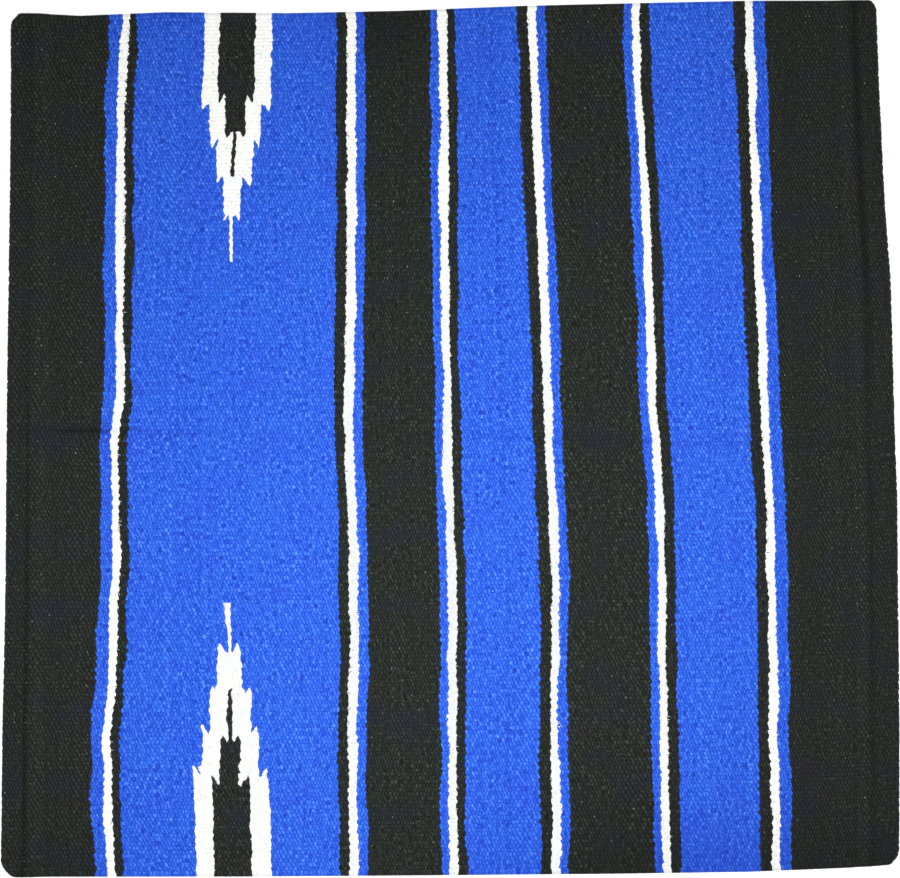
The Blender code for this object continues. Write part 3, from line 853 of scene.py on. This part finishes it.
    def bake_map(self, vertices, sheet, first, last):
        """Where a face's corners lie in the map of baked colours: the face left, the underside beside it."""
        across = np.clip((self.c[vertices] - first) / (last - first), 0, 1) * BAKE_SHEET
        along = BAKE_EDGE + (1 - 2 * BAKE_EDGE) * np.clip(self.f[vertices], 0, 1)
        level = self.level[vertices]
        turn = np.minimum(level, SELVEDGE_STEPS - level) * 2 / SELVEDGE_STEPS * BAKE_EDGE
        along = along + np.where(self.f[vertices] < 0.5, -turn, turn)
        if sheet == 2:
            across = BAKE_WALLS + BAKE_WALLS_WIDTH * level / SELVEDGE_STEPS
        else:
            across = across + sheet * (BAKE_SHEET + BAKE_GAP)
        return np.stack((across, along), -1)


def tubes(paths, radii, sides, across):
    """Closed tubes along paths of shape (count, steps, 3).

    Gives the points, the four-sided faces, the end faces, and how far round its tube each point is. across is
    a direction that no path runs along, and radii gives the radius at each step.
    """
    count, steps, _ = paths.shape
    along = np.gradient(paths, axis=1)
    along /= np.linalg.norm(along, axis=2, keepdims=True)
    first = np.asarray(across, float) - along * (along @ np.asarray(across, float))[..., None]
    first /= np.linalg.norm(first, axis=2, keepdims=True)
    second = np.cross(along, first)
    angles = np.arange(sides) * 2 * math.pi / sides
    ring = first[:, :, None] * np.cos(angles)[:, None] + second[:, :, None] * np.sin(angles)[:, None]
    points = paths[:, :, None] + ring * np.asarray(radii, float)[:, None, None]
    number = np.arange(count * steps * sides).reshape(count, steps, sides)
    after = np.roll(number, -1, axis=2)
    walls = np.stack((number[:, :-1], after[:, :-1], after[:, 1:], number[:, 1:]), -1).reshape(-1, 4)
    ends = np.concatenate((number[:, 0, ::-1], number[:, -1]))
    turn = np.broadcast_to(np.arange(sides) / sides, number.shape).ravel()
    return points.reshape(-1, 3), walls, ends, turn


def mesh_object(name, points, groups, material, tones, grades, maps, sharp=None):
    """A mesh object from groups of faces of one corner count each.

    tones has one value for a face, each grade one for a point, and maps gives each UV map's corners.
    """
    corners = np.concatenate([group.ravel() for group in groups])
    totals = np.concatenate([np.full(len(group), group.shape[1]) for group in groups])
    used, local = np.unique(corners, return_inverse=True)
    mesh = bpy.data.meshes.new(name)
    mesh.vertices.add(len(used))
    mesh.vertices.foreach_set("co", points[used].astype(np.float32).ravel())
    mesh.loops.add(len(corners))
    mesh.loops.foreach_set("vertex_index", local.astype(np.int32).ravel())
    mesh.polygons.add(len(totals))
    starts = np.concatenate(([0], np.cumsum(totals)[:-1]))
    mesh.polygons.foreach_set("loop_start", starts.astype(np.int32))
    mesh.update(calc_edges=True)
    mesh.shade_smooth()
    for map_name, places in maps.items():
        layer = mesh.uv_layers.new(name=map_name)
        layer.data.foreach_set("uv", places.astype(np.float32).ravel())
    mesh.attributes.new("tone", "FLOAT", "FACE").data.foreach_set("value", tones.astype(np.float32))
    for grade, values in grades.items():
        attribute = mesh.attributes.new(grade, "FLOAT", "POINT")
        attribute.data.foreach_set("value", values[used].astype(np.float32))
    if sharp is not None:
        ends = np.empty(2 * len(mesh.edges), np.int32)
        mesh.edges.foreach_get("vertices", ends)
        hard = sharp[used][ends.reshape(-1, 2)].all(axis=1)
        mesh.attributes.new("sharp_edge", "BOOLEAN", "EDGE").data.foreach_set("value", hard)
    mesh.materials.append(material)
    mesh.validate()
    piece = bpy.data.objects.new(name, mesh)
    bpy.context.scene.collection.objects.link(piece)
    return piece


def stray_fibres(weave, line, count):
    """Short, curled fibre ends that stand out of a line's edges, over the yarn of the line beside it."""
    random = weave.random
    band = weave.names.index(line)
    white = [side for side in (-1, 1) if weave.yarns[band + side] == "white"]
    out = random.choice(white or (-1, 1, 1), count)[:, None]
    edge = np.where(out[:, 0] > 0, weave.starts[band + 1], weave.starts[band]).astype(float)
    steps = np.linspace(0, 1, len(FIBRE_TAPER))
    length = random.uniform(*FIBRE_LENGTHS, count)[:, None] / weave.sizes.pick_pitch
    curl = random.normal(size=count)[:, None] * FIBRE_CURL
    c = edge[:, None] - out * FIBRE_ROOT + out * length * steps
    f = random.uniform(*FIBRE_PLACES, count)[:, None] + curl * steps**2 / weave.cords
    points, _, half = weave.surface(c, np.clip(f, 0, 1))
    lift = FIBRE_RADIUS * (1 + FIBRE_ARCH * np.sin(math.pi * steps))
    points[..., 2] += half + lift - FIBRE_SINK * weave.sizes.bead_rise
    points[..., 2] -= CREASE_DEPTH * weave.crease(points)
    return tubes(points, FIBRE_RADIUS * np.array(FIBRE_TAPER), FIBRE_SIDES, (0, 0, 1))


def woven_piece(weave, name, chosen, material, fibres=None):
    """One piece of cloth made of the chosen beads, with the fibres that stand out of it."""
    found = weave.polygons(chosen)
    every = np.concatenate([weave.c[vertices].ravel() for vertices, _, _ in found])
    first, last = every.min(), every.max()
    baked, cloth = [], []
    for vertices, sheet, _ in found:
        baked.append(weave.bake_map(vertices, sheet, first, last).reshape(-1, 2))
        flat = np.stack((weave.laid_at(weave.c[vertices]), weave.f[vertices]), -1)
        flat[..., 0] += BACK_SHIFT * (weave.level[vertices] > SELVEDGE_STEPS / 2)
        flat[..., 1] *= weave.cords * weave.sizes.cord_pitch
        cloth.append(flat.reshape(-1, 2))
    tones = [tone for _, _, tone in found]
    groups = [vertices for vertices, _, _ in found]
    points, grades = weave.points, {"shade": weave.shade, "painted_shade": weave.painted_shade, "lint": weave.lint}
    grades["glare"] = weave.glare(points)
    if fibres:
        verts, walls, ends, _ = fibres
        for faces in (walls, ends):
            groups.append(faces + len(points))
            tones.append(np.full(len(faces), FIBRE_TONE))
            cloth.append(verts[faces][..., :2].reshape(-1, 2))
            spot = np.array(BAKE_SPOT) + BAKE_SPOT_SIZE * np.stack((faces % 2, faces // 2 % 2), -1)
            baked.append(spot.reshape(-1, 2))
        points = np.concatenate((points, verts))
        plain = {"shade": 1.0, "painted_shade": 0.0, "lint": 0.0, "glare": 0.5}
        for grade, value in plain.items():
            grades[grade] = np.append(grades[grade], np.full(len(verts), value))
    on_line = np.arange(len(points)) < weave.ridges
    maps = {"cloth": np.concatenate(cloth), "OFBake": np.concatenate(baked)}
    return mesh_object(name, points, groups, material, np.concatenate(tones), grades, maps, on_line)


def tube_piece(name, bundles, material):
    """One piece made of several bundles of tubes, as tubes() gives them."""
    points, groups, tones, cloth, baked = [], [], [], [], []
    base = 0
    for verts, walls, ends, turn in bundles:
        points.append(verts)
        for faces in (walls, ends):
            groups.append(faces + base)
            tones.append(np.full(len(faces), 0.5))
            along = (verts[faces][..., 1] - verts[:, 1].min()) / np.ptp(verts[:, 1])
            reach = (verts[faces][..., 0] - verts[:, 0].min()) / np.ptp(verts[:, 0])
            across = (1 - BAKE_TURN) * reach + BAKE_TURN * turn[faces]
            baked.append(np.stack((across, along), -1).reshape(-1, 2))
            cloth.append(verts[faces][..., :2].reshape(-1, 2))
        base += len(verts)
    maps = {"cloth": np.concatenate(cloth), "OFBake": np.concatenate(baked)}
    return mesh_object(name, np.concatenate(points), groups, material, np.concatenate(tones), {}, maps)


def add_node(tree, kind, inputs=None, **settings):
    """A node with its settings. An input is named or numbered, and is a value or the socket that feeds it."""
    node = tree.nodes.new(kind)
    for name, value in settings.items():
        setattr(node, name, value)
    for name, value in (inputs or {}).items():
        if isinstance(value, bpy.types.NodeSocket):
            tree.links.new(value, node.inputs[name])
        else:
            node.inputs[name].default_value = value
    return node


def new_material(name):
    """A material with an empty tree but for its output."""
    material = bpy.data.materials.new(name)
    material.use_nodes = True
    tree = material.node_tree
    for node in list(tree.nodes):
        tree.nodes.remove(node)
    return material, tree


def finish_material(tree, shader):
    add_node(tree, "ShaderNodeOutputMaterial", {"Surface": shader.outputs[0]})


def mix_colours(tree, share, first, second, blend="MIX"):
    """The colour output of a mix. Its factor and two colours are sockets or values."""
    inputs = {0: share, 6: first, 7: second}
    return add_node(tree, "ShaderNodeMix", inputs, data_type="RGBA", blend_type=blend).outputs[2]


def scaled_place(tree, flat, size, turn=0.0):
    """The cloth's own flat coordinates, turned, in units of a pattern's real size in metres."""
    inputs = {"Vector": flat, "Rotation": (0, 0, turn), "Scale": (size[0], size[1], 1)}
    return add_node(tree, "ShaderNodeMapping", inputs, vector_type="TEXTURE").outputs[0]


def grain(tree, flat, size, turn=0.0, detail=2.0):
    """Noise whose blotches have a real size, from 0 to 1."""
    inputs = {"Vector": scaled_place(tree, flat, size, turn), "Scale": 1.0, "Detail": detail}
    return add_node(tree, "ShaderNodeTexNoise", inputs).outputs[0]


def stretched(tree, value, low, high, new_low=0.0, new_high=1.0):
    """A value stretched from one range to another and kept inside it."""
    inputs = {"Value": value, "From Min": low, "From Max": high, "To Min": new_low, "To Max": new_high}
    return add_node(tree, "ShaderNodeMapRange", inputs).outputs[0]


def arithmetic(tree, operation, first, second):
    return add_node(tree, "ShaderNodeMath", {0: first, 1: second}, operation=operation).outputs[0]


# Real sizes of what shows in spun weft yarn, in metres. Its single fibres are a tenth as wide as FIBRE_SIZE
# says, too fine to show, and are drawn this coarse so that they do.
FLECK_SIZE = (0.0007, 0.0024)
FLECK_TURN = math.radians(20)
FIBRE_SIZE = (0.0003, 0.0012)
PLY_PITCH = 0.0013
PLY_TURN = math.radians(-52)
PLY_DEPTH = 0.0003
PATCH_SIZE = (0.05, 0.035)
BLOTCH_SIZE = (0.012, 0.009)
LINT_SPACING = 0.0065
# Where a lint fibre's edge fades, outside and inside, in shares of that spacing
LINT_EDGE_SHARES = (0.11, 0.06)
# How much of a yarn's lightness comes from its flecks, the rest being its bead's
FLECK_SHARE = 0.58
# How far each tint's pattern of patches is moved along the cloth, so that no two are alike
TINT_SHIFTS = ((3.7, 0, 0), (4.7, 1.9, 0))
# How dark the shade painted in the hollows of a cord's twist is
TWIST_HOLLOW_SHADE = (0.55, 0.55, 0.55, 1)
# Fibre ends that stand out of a line. A real one is finer, and is drawn this thick so that it shows.
FIBRE_LENGTHS = (0.0014, 0.0034)
FIBRE_CURL = 0.4
FIBRE_RADIUS = 0.00026
FIBRE_SIDES = 4
FIBRE_TONE = 0.6
FIBRES_ON_A_LINE = {"white": 44, "black": 36}
# Between which shares of the way across the cloth they lie
FIBRE_PLACES = (0.01, 0.99)
# How thick one is along its length, as shares of its radius
FIBRE_TAPER = (1, 1, 0.9, 0.75, 0.4)
# How many picks inside its line one starts, how deep it lies among the beads, as a share of their rise,
# and how high it arches in its middle, in radii
FIBRE_ROOT = 0.8
FIBRE_SINK = 0.3
FIBRE_ARCH = 2
# Twist of the cotton cord and of the sewing thread: from ridge to ridge, and the ridges' slant
COTTON_TWIST_PITCH = 0.0012
COTTON_TWIST_TURN = 0.9
THREAD_TWIST_PITCH = 0.0006
THREAD_TWIST_TURN = 0.7
# Frosting of the acrylic floor, which is finer and is drawn this coarse so that it shows
FROST_SIZE = (0.0015, 0.0015)
FROST_DEPTH = 0.0002
# A wave texture's bands repeat once in this share of its unit
WAVE_UNIT = math.pi / 10

# A warp cord bends round the hem, so it has this many points over this share of the hem's picks
HEM_PICK_SHARE = 0.6
HEM_CORD_STEPS = 14
CORD_SIDES = 6
# One stitch: the gap to the next one as a share of its length, its points along it, and how far each one
# stands out
STITCH_GAP = 0.08
STITCH_STEPS = (0, 0.06, 0.18, 0.5, 0.82, 0.94, 1)
STITCH_LIFTS = (-0.0012, -0.0002, 0.0001, 0.0002, 0.0001, -0.0002, -0.0012)


def yarn_material(body, light, deep, name, tints, lint, sheen, depth, glare_tone=None):
    """Spun weft yarn, soft and matt: twisted plies, light and dark fibres, and shade painted between the
    beads.

    tints are two colours that show in wide, faint patches, with how strongly they do. lint is the colour of
    the stray light fibres caught in the cloth, with the share of places that have one. depth is how much of
    the deep colour is painted between the beads as their shade, and glare_tone is what the colour is
    multiplied by where it would glare. The deep colour is also painted as shade at the fold line, along the
    stitches and near the cloth's edges and corners.
    """
    material, tree = new_material(name)
    flat = add_node(tree, "ShaderNodeUVMap", uv_map="cloth").outputs[0]
    tone = add_node(tree, "ShaderNodeAttribute", attribute_name="tone").outputs["Fac"]
    shade = add_node(tree, "ShaderNodeAttribute", attribute_name="shade").outputs["Fac"]

    fleck = stretched(tree, grain(tree, flat, FLECK_SIZE, FLECK_TURN), 0.28, 0.72)
    blotch = stretched(tree, grain(tree, flat, BLOTCH_SIZE), 0.3, 0.7, -0.02, 0.02)
    spread = add_node(tree, "ShaderNodeMix", {0: FLECK_SHARE, 2: tone, 3: fleck}).outputs[0]
    spread = arithmetic(tree, "ADD", spread, blotch)
    colour = mix_colours(tree, stretched(tree, spread, 0.5, 0.85), body, light)
    colour = mix_colours(tree, stretched(tree, spread, 0.52, 0.18), colour, deep)

    for shift, (tint, strength) in zip(TINT_SHIFTS, tints):
        moved = add_node(tree, "ShaderNodeVectorMath", {0: flat, 1: shift}, operation="ADD")
        patch = grain(tree, moved.outputs[0], PATCH_SIZE)
        tinted = stretched(tree, patch, 0.48, 0.68, 0, strength)
        colour = mix_colours(tree, tinted, colour, linear(tint))

    lint_colour, lint_share = lint
    place = scaled_place(tree, flat, (LINT_SPACING, LINT_SPACING))
    cell = add_node(tree, "ShaderNodeTexVoronoi", {"Vector": place, "Scale": 1.0})
    chance = add_node(tree, "ShaderNodeSeparateColor", {0: cell.outputs["Color"]}).outputs[0]
    near = stretched(tree, cell.outputs["Distance"], *LINT_EDGE_SHARES)
    share = add_node(tree, "ShaderNodeAttribute", attribute_name="lint").outputs["Fac"]
    share = arithmetic(tree, "ADD", share, lint_share)
    speck = arithmetic(tree, "MULTIPLY", near, arithmetic(tree, "LESS_THAN", chance, share))
    colour = mix_colours(tree, speck, colour, linear(lint_colour))

    # Painted shade: the deep colour in the hollows between the beads, and then at the fold line, along the
    # stitches and near the cloth's edges and corners
    painted_hollow_shade = mix_colours(tree, depth, colour, deep)
    colour = mix_colours(tree, stretched(tree, shade, 0.0, 0.75), painted_hollow_shade, colour)
    painted_shade = add_node(tree, "ShaderNodeAttribute", attribute_name="painted_shade").outputs["Fac"]
    colour = mix_colours(tree, painted_shade, colour, deep)
    if glare_tone:
        glare = add_node(tree, "ShaderNodeAttribute", attribute_name="glare").outputs["Fac"]
        colour = mix_colours(tree, glare, colour, glare_tone, "MULTIPLY")

    turned = scaled_place(tree, flat, (PLY_PITCH / WAVE_UNIT, PLY_PITCH / WAVE_UNIT), PLY_TURN)
    wave = {"Vector": turned, "Scale": 1.0, "Distortion": 1.2}
    plies = add_node(tree, "ShaderNodeTexWave", wave).outputs[1]
    fibres = grain(tree, flat, FIBRE_SIZE, FLECK_TURN)
    height = arithmetic(tree, "ADD", plies, fibres)
    relief = {"Strength": 0.6, "Distance": PLY_DEPTH, "Height": height}
    bump = add_node(tree, "ShaderNodeBump", relief).outputs[0]
    shader_inputs = {
        "Base Color": colour,
        "Roughness": 0.92,
        "Specular IOR Level": 0.2,
        "Sheen Weight": sheen,
        "Sheen Roughness": 0.5,
        "Normal": bump,
    }
    finish_material(tree, add_node(tree, "ShaderNodeBsdfPrincipled", shader_inputs))
    return material


def cord_material(name, body, pitch, turn, roughness):
    """Plied cotton cord or sewing thread: a hard twist that shows as slanting ridges, with shade painted
    between them.
    """
    material, tree = new_material(name)
    flat = add_node(tree, "ShaderNodeUVMap", uv_map="cloth").outputs[0]
    turned = scaled_place(tree, flat, (pitch / WAVE_UNIT, pitch / WAVE_UNIT), turn)
    wave = {"Vector": turned, "Scale": 1.0, "Distortion": 0.6}
    twist = add_node(tree, "ShaderNodeTexWave", wave).outputs[1]
    # The hollows of the twist are painted darker, as their shade
    dark = mix_colours(tree, 1.0, body, TWIST_HOLLOW_SHADE, "MULTIPLY")
    speckle = grain(tree, flat, (pitch, 2 * pitch), turn)
    colour = mix_colours(tree, arithmetic(tree, "MULTIPLY", twist, speckle), dark, body)
    relief = {"Strength": 0.7, "Distance": pitch / 4, "Height": twist}
    bump = add_node(tree, "ShaderNodeBump", relief).outputs[0]
    shader_inputs = {"Base Color": colour, "Roughness": roughness, "Specular IOR Level": 0.3, "Normal": bump}
    finish_material(tree, add_node(tree, "ShaderNodeBsdfPrincipled", shader_inputs))
    return material


def table_material(name, body, glow):
    """The frosted white acrylic of a shooting table, lit from below, so the cloth throws little shadow."""
    material, tree = new_material(name)
    place = add_node(tree, "ShaderNodeTexCoord").outputs["Object"]
    frost = grain(tree, place, FROST_SIZE)
    relief = {"Strength": 0.05, "Distance": FROST_DEPTH, "Height": frost}
    bump = add_node(tree, "ShaderNodeBump", relief).outputs[0]
    shader_inputs = {
        "Base Color": body,
        "Roughness": 0.95,
        "Specular IOR Level": 0.1,
        "Emission Color": (1, 1, 1, 1),
        "Emission Strength": glow,
        "Normal": bump,
    }
    finish_material(tree, add_node(tree, "ShaderNodeBsdfPrincipled", shader_inputs))
    return material


# What yarn_material() needs of each weft yarn, apart from its own colours. Its depth is how strongly shade
# is painted between its beads.
YARNS = {
    "blue": {
        "name": "royal_blue_spun_weft",
        "tints": (("#2F78E6", 0.25), ("#3A4FE0", 0.2)),
        "lint": ("#86C6FF", 0.2),
        "sheen": 0.15,
        "depth": 0.75,
    },
    "black": {
        "name": "black_spun_weft",
        "tints": (("#252B36", 0.75), ("#352A22", 0.24)),
        "lint": ("#878E86", 0.3),
        "sheen": 0.05,
        "depth": 0.95,
    },
    "white": {
        "name": "bleached_white_spun_weft",
        "tints": (("#F4F8E4", 0.3), ("#F8F1E6", 0.3)),
        "lint": ("#C9CBBC", 0.2),
        "sheen": 0.1,
        "depth": 0.4,
        "glare_tone": GLARE_TONE,
    },
}


def yarn(colours, which):
    """The material of one weft yarn, made once."""
    found = bpy.data.materials.get(YARNS[which]["name"])
    if found:
        return found
    body, light, deep = (tuple(getattr(colours, which + part)) for part in ("", "_light", "_deep"))
    return yarn_material(body, light, deep, **YARNS[which])


def cross_fold(piece):
    """Moves a piece's placing into its mesh, leaving the piece itself at the origin."""
    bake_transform(piece)


def both_halves(name):
    return [name + "_near", name + "_off"]


def declare_cloths(weave, bands):
    """Lists the lines and other pieces that go with each wide band, and the cloth's length across, and uses
    neither.
    """
    going_with = {"rear_border": ["rear_hem_stitches"], "front_border": ["front_hem_stitches"]}
    going_with["motif_field"] = ["warp_cords"] + ["woven_" + name for name in weave.names[bands:]]
    for name in weave.names[:bands]:
        if name in PICK_PITCHES:
            wide = going_with.setdefault(name, [])
        else:
            wide.append("woven_" + name)
    length = float(weave.across(0.0, 1.0) - weave.across(0.0, 0.0)) + 2 * weave.inset


class BLANKET_OT_weave_bands(Operator):
    """Weave every colour band as its own piece of cloth, from selvedge to selvedge"""

    bl_idname = "blanket.weave_bands"
    bl_label = "Weave the bands"

    def execute(self, context):
        weave = Weave(context.scene.blanket_sizes)
        colours = context.scene.blanket_colours
        bands = len(weave.starts) - 1
        for number, (name, colour) in enumerate(zip(weave.names[:bands], weave.yarns)):
            bristly = name.startswith("stripe") and colour in FIBRES_ON_A_LINE
            fibres = stray_fibres(weave, name, FIBRES_ON_A_LINE[colour]) if bristly else None
            piece = woven_piece(weave, "woven_" + name, weave.owner == number, yarn(colours, colour), fibres)
            cross_fold(piece)
            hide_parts(*both_halves(name))
        declare_cloths(weave, bands)
        return {"FINISHED"}


class BLANKET_OT_weave_arrows(Operator):
    """Weave the stepped arrows of the rear blue field, and their black cores"""

    bl_idname = "blanket.weave_arrows"
    bl_label = "Weave the arrows"

    def execute(self, context):
        weave = Weave(context.scene.blanket_sizes)
        colours = context.scene.blanket_colours
        for number in range(len(weave.starts) - 1, len(weave.names)):
            name, colour = weave.names[number], weave.yarns[number]
            piece = woven_piece(weave, "woven_" + name, weave.owner == number, yarn(colours, colour))
            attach(piece, name.split("_")[-1] + "_half")
            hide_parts(name)
        return {"FINISHED"}


class BLANKET_OT_lay_warp(Operator):
    """Lay the cotton warp cords that run from hem to hem inside the weft"""

    bl_idname = "blanket.lay_warp"
    bl_label = "Lay the warp"

    radius: length_property("Radius", "Radius of a warp cord", 0.0006)
    tail: length_property("Tail", "How far a cut cord stands out of the hem's turned-under end", 0.0015)

    def execute(self, context):
        weave = Weave(context.scene.blanket_sizes)
        rear, front = (np.linspace(0, weave.picks[end] * HEM_PICK_SHARE, HEM_CORD_STEPS) for end in (0, -1))
        places = np.concatenate((rear, weave.starts[1:-1], weave.count - front[::-1]))
        cords = weave.cord_place(np.arange(weave.cords) + 0.5)
        f, c = np.meshgrid(cords, places, indexing="ij")
        paths, _, _ = weave.surface(c, f)
        tails = np.array((self.tail, 0, 0))
        paths = np.concatenate((paths[:, :1] + tails, paths, paths[:, -1:] - tails), axis=1)
        bundle = tubes(paths, np.full(paths.shape[1], self.radius), CORD_SIDES, (0, 1, 0))
        undyed = tuple(context.scene.blanket_colours.cord)
        twist = (COTTON_TWIST_PITCH, COTTON_TWIST_TURN)
        cotton = cord_material("undyed_cotton_cord", undyed, *twist, roughness=0.9)
        piece = tube_piece("warp_cords", [bundle], cotton)
        cross_fold(piece)
        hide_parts(*both_halves("warp"))
        return {"FINISHED"}


class BLANKET_OT_sew_hems(Operator):
    """Sew the two hems with a row of lockstitches in their grooves"""

    bl_idname = "blanket.sew_hems"
    bl_label = "Sew the hems"

    stitch: length_property("Stitch", "From one needle hole to the next", 0.0048)
    radius: length_property("Radius", "Radius of the sewing thread", 0.0005)

    def execute(self, context):
        weave = Weave(context.scene.blanket_sizes)
        thread = tuple(context.scene.blanket_colours.thread)
        twist = (THREAD_TWIST_PITCH, THREAD_TWIST_TURN)
        polyester = cord_material("black_polyester_thread", thread, *twist, roughness=0.55)
        count = round(weave.cords * weave.sizes.cord_pitch / self.stitch)
        for end, sign in (("rear", 1), ("front", -1)):
            along = STITCH_GAP / 2 + (1 - STITCH_GAP) * np.array(STITCH_STEPS)
            f = (np.arange(count)[:, None] + along) / count
            bundles = []
            for over in (True, False):
                turn = HEM_HALF + HEM_TURN + np.interp(f, weave.grid, weave.pulls[end])
                stitches = along_hem(STITCH_LINES[end], f)
                run = TURNED_END - turn + math.pi * HEM_TURN + stitches - turn
                run = run if over else TURNED_END - stitches
                reach, _, _, half, z = weave.hem_section(end, run, f)
                x = np.interp(f, weave.grid, weave.edges[end]) + sign * reach
                lift = half - along_hem(STITCH_DEPTHS[end], f) + STITCH_LIFTS
                paths = np.stack((x, weave.across(x, f), z + (lift if over else -lift)), -1)
                bundles.append(tubes(paths, np.full(len(STITCH_STEPS), self.radius), CORD_SIDES, (1, 0, 0)))
            piece = tube_piece(end + "_hem_stitches", bundles, polyester)
            cross_fold(piece)
            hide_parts(*both_halves(end + "_hem_thread"))
        return {"FINISHED"}


class BLANKET_OT_set_stage(Operator):
    """Set up the floor, the camera straight above and the soft light"""

    bl_idname = "blanket.set_stage"
    bl_label = "Set the stage"

    def execute(self, context):
        scene, stage = context.scene, context.scene.blanket_stage
        # The view is left neutral, so that a colour in the render is the surface's own
        scene.view_settings.view_transform = "Standard"
        world = bpy.data.worlds.new("even_light")
        world.use_nodes = True
        background = world.node_tree.nodes["Background"]
        background.inputs["Color"].default_value = (1, 1, 1, 1)
        background.inputs["Strength"].default_value = stage.sky
        scene.world = world

        mesh = bpy.data.meshes.new("floor")
        corners = [(FLOOR_REACH * x, FLOOR_REACH * y, 0) for x, y in ((-1, -1), (1, -1), (1, 1), (-1, 1))]
        mesh.from_pydata(corners, [], [(0, 1, 2, 3)])
        mesh.materials.append(table_material("frosted_white_acrylic", tuple(stage.floor), stage.floor_glow))
        floor = bpy.data.objects.new("floor", mesh)
        floor.location.z = -FLOOR_GAP
        scene.collection.objects.link(floor)

        lamp = bpy.data.lights.new("soft_box", "AREA")
        lamp.shape = "RECTANGLE"
        lamp.size, lamp.size_y = stage.lamp_length, stage.lamp_width
        lamp.energy = stage.lamp_power
        box = bpy.data.objects.new("soft_box", lamp)
        box.location = (*LAMP_PLACE, stage.lamp_height)
        box.rotation_euler.z = stage.lamp_turn
        box.visible_camera = False
        scene.collection.objects.link(box)

        lens = bpy.data.cameras.new("camera")
        lens.lens = lens.sensor_width * (stage.camera_height - CLOTH_HIGH.z) / (PHOTO_WIDTH * PIXEL)
        lens.clip_end = 100
        camera = bpy.data.objects.new("camera", lens)
        camera.location = (photo_x(PHOTO_WIDTH / 2), photo_y(PHOTO_MIDDLE_Y), stage.camera_height)
        scene.collection.objects.link(camera)
        scene.camera = camera
        return {"FINISHED"}


OPERATORS = (
    BLANKET_OT_set_stage,
    BLANKET_OT_lay_warp,
    BLANKET_OT_sew_hems,
    BLANKET_OT_weave_arrows,
    BLANKET_OT_weave_bands,
)
SETTINGS = {"blanket_sizes": WeaveSizes, "blanket_colours": YarnColours, "blanket_stage": StageSettings}


class BLANKET_PT_panel(Panel):
    """The blanket's settings and its steps, in the order in which they are done"""

    bl_idname = "BLANKET_PT_panel"
    bl_label = "Saddle blanket"
    bl_space_type = "VIEW_3D"
    bl_region_type = "UI"
    bl_category = "Blanket"

    def draw(self, context):
        for group in SETTINGS:
            box = self.layout.box()
            settings = getattr(context.scene, group)
            for name in settings.__annotations__:
                box.prop(settings, name)
        for operator in OPERATORS:
            self.layout.operator(operator.bl_idname)


CLASSES = (*SETTINGS.values(), *OPERATORS, BLANKET_PT_panel)


def register():
    for cls in CLASSES:
        bpy.utils.register_class(cls)
    for name, group in SETTINGS.items():
        setattr(bpy.types.Scene, name, PointerProperty(type=group))


def unregister():
    for name in SETTINGS:
        delattr(bpy.types.Scene, name)
    for cls in reversed(CLASSES):
        bpy.utils.unregister_class(cls)


def main():
    register()
    bpy.ops.blanket.set_stage()
    bpy.ops.blanket.lay_warp()
    bpy.ops.blanket.sew_hems()
    bpy.ops.blanket.weave_arrows()
    bpy.ops.blanket.weave_bands()


if __name__ == "__main__":
    main()
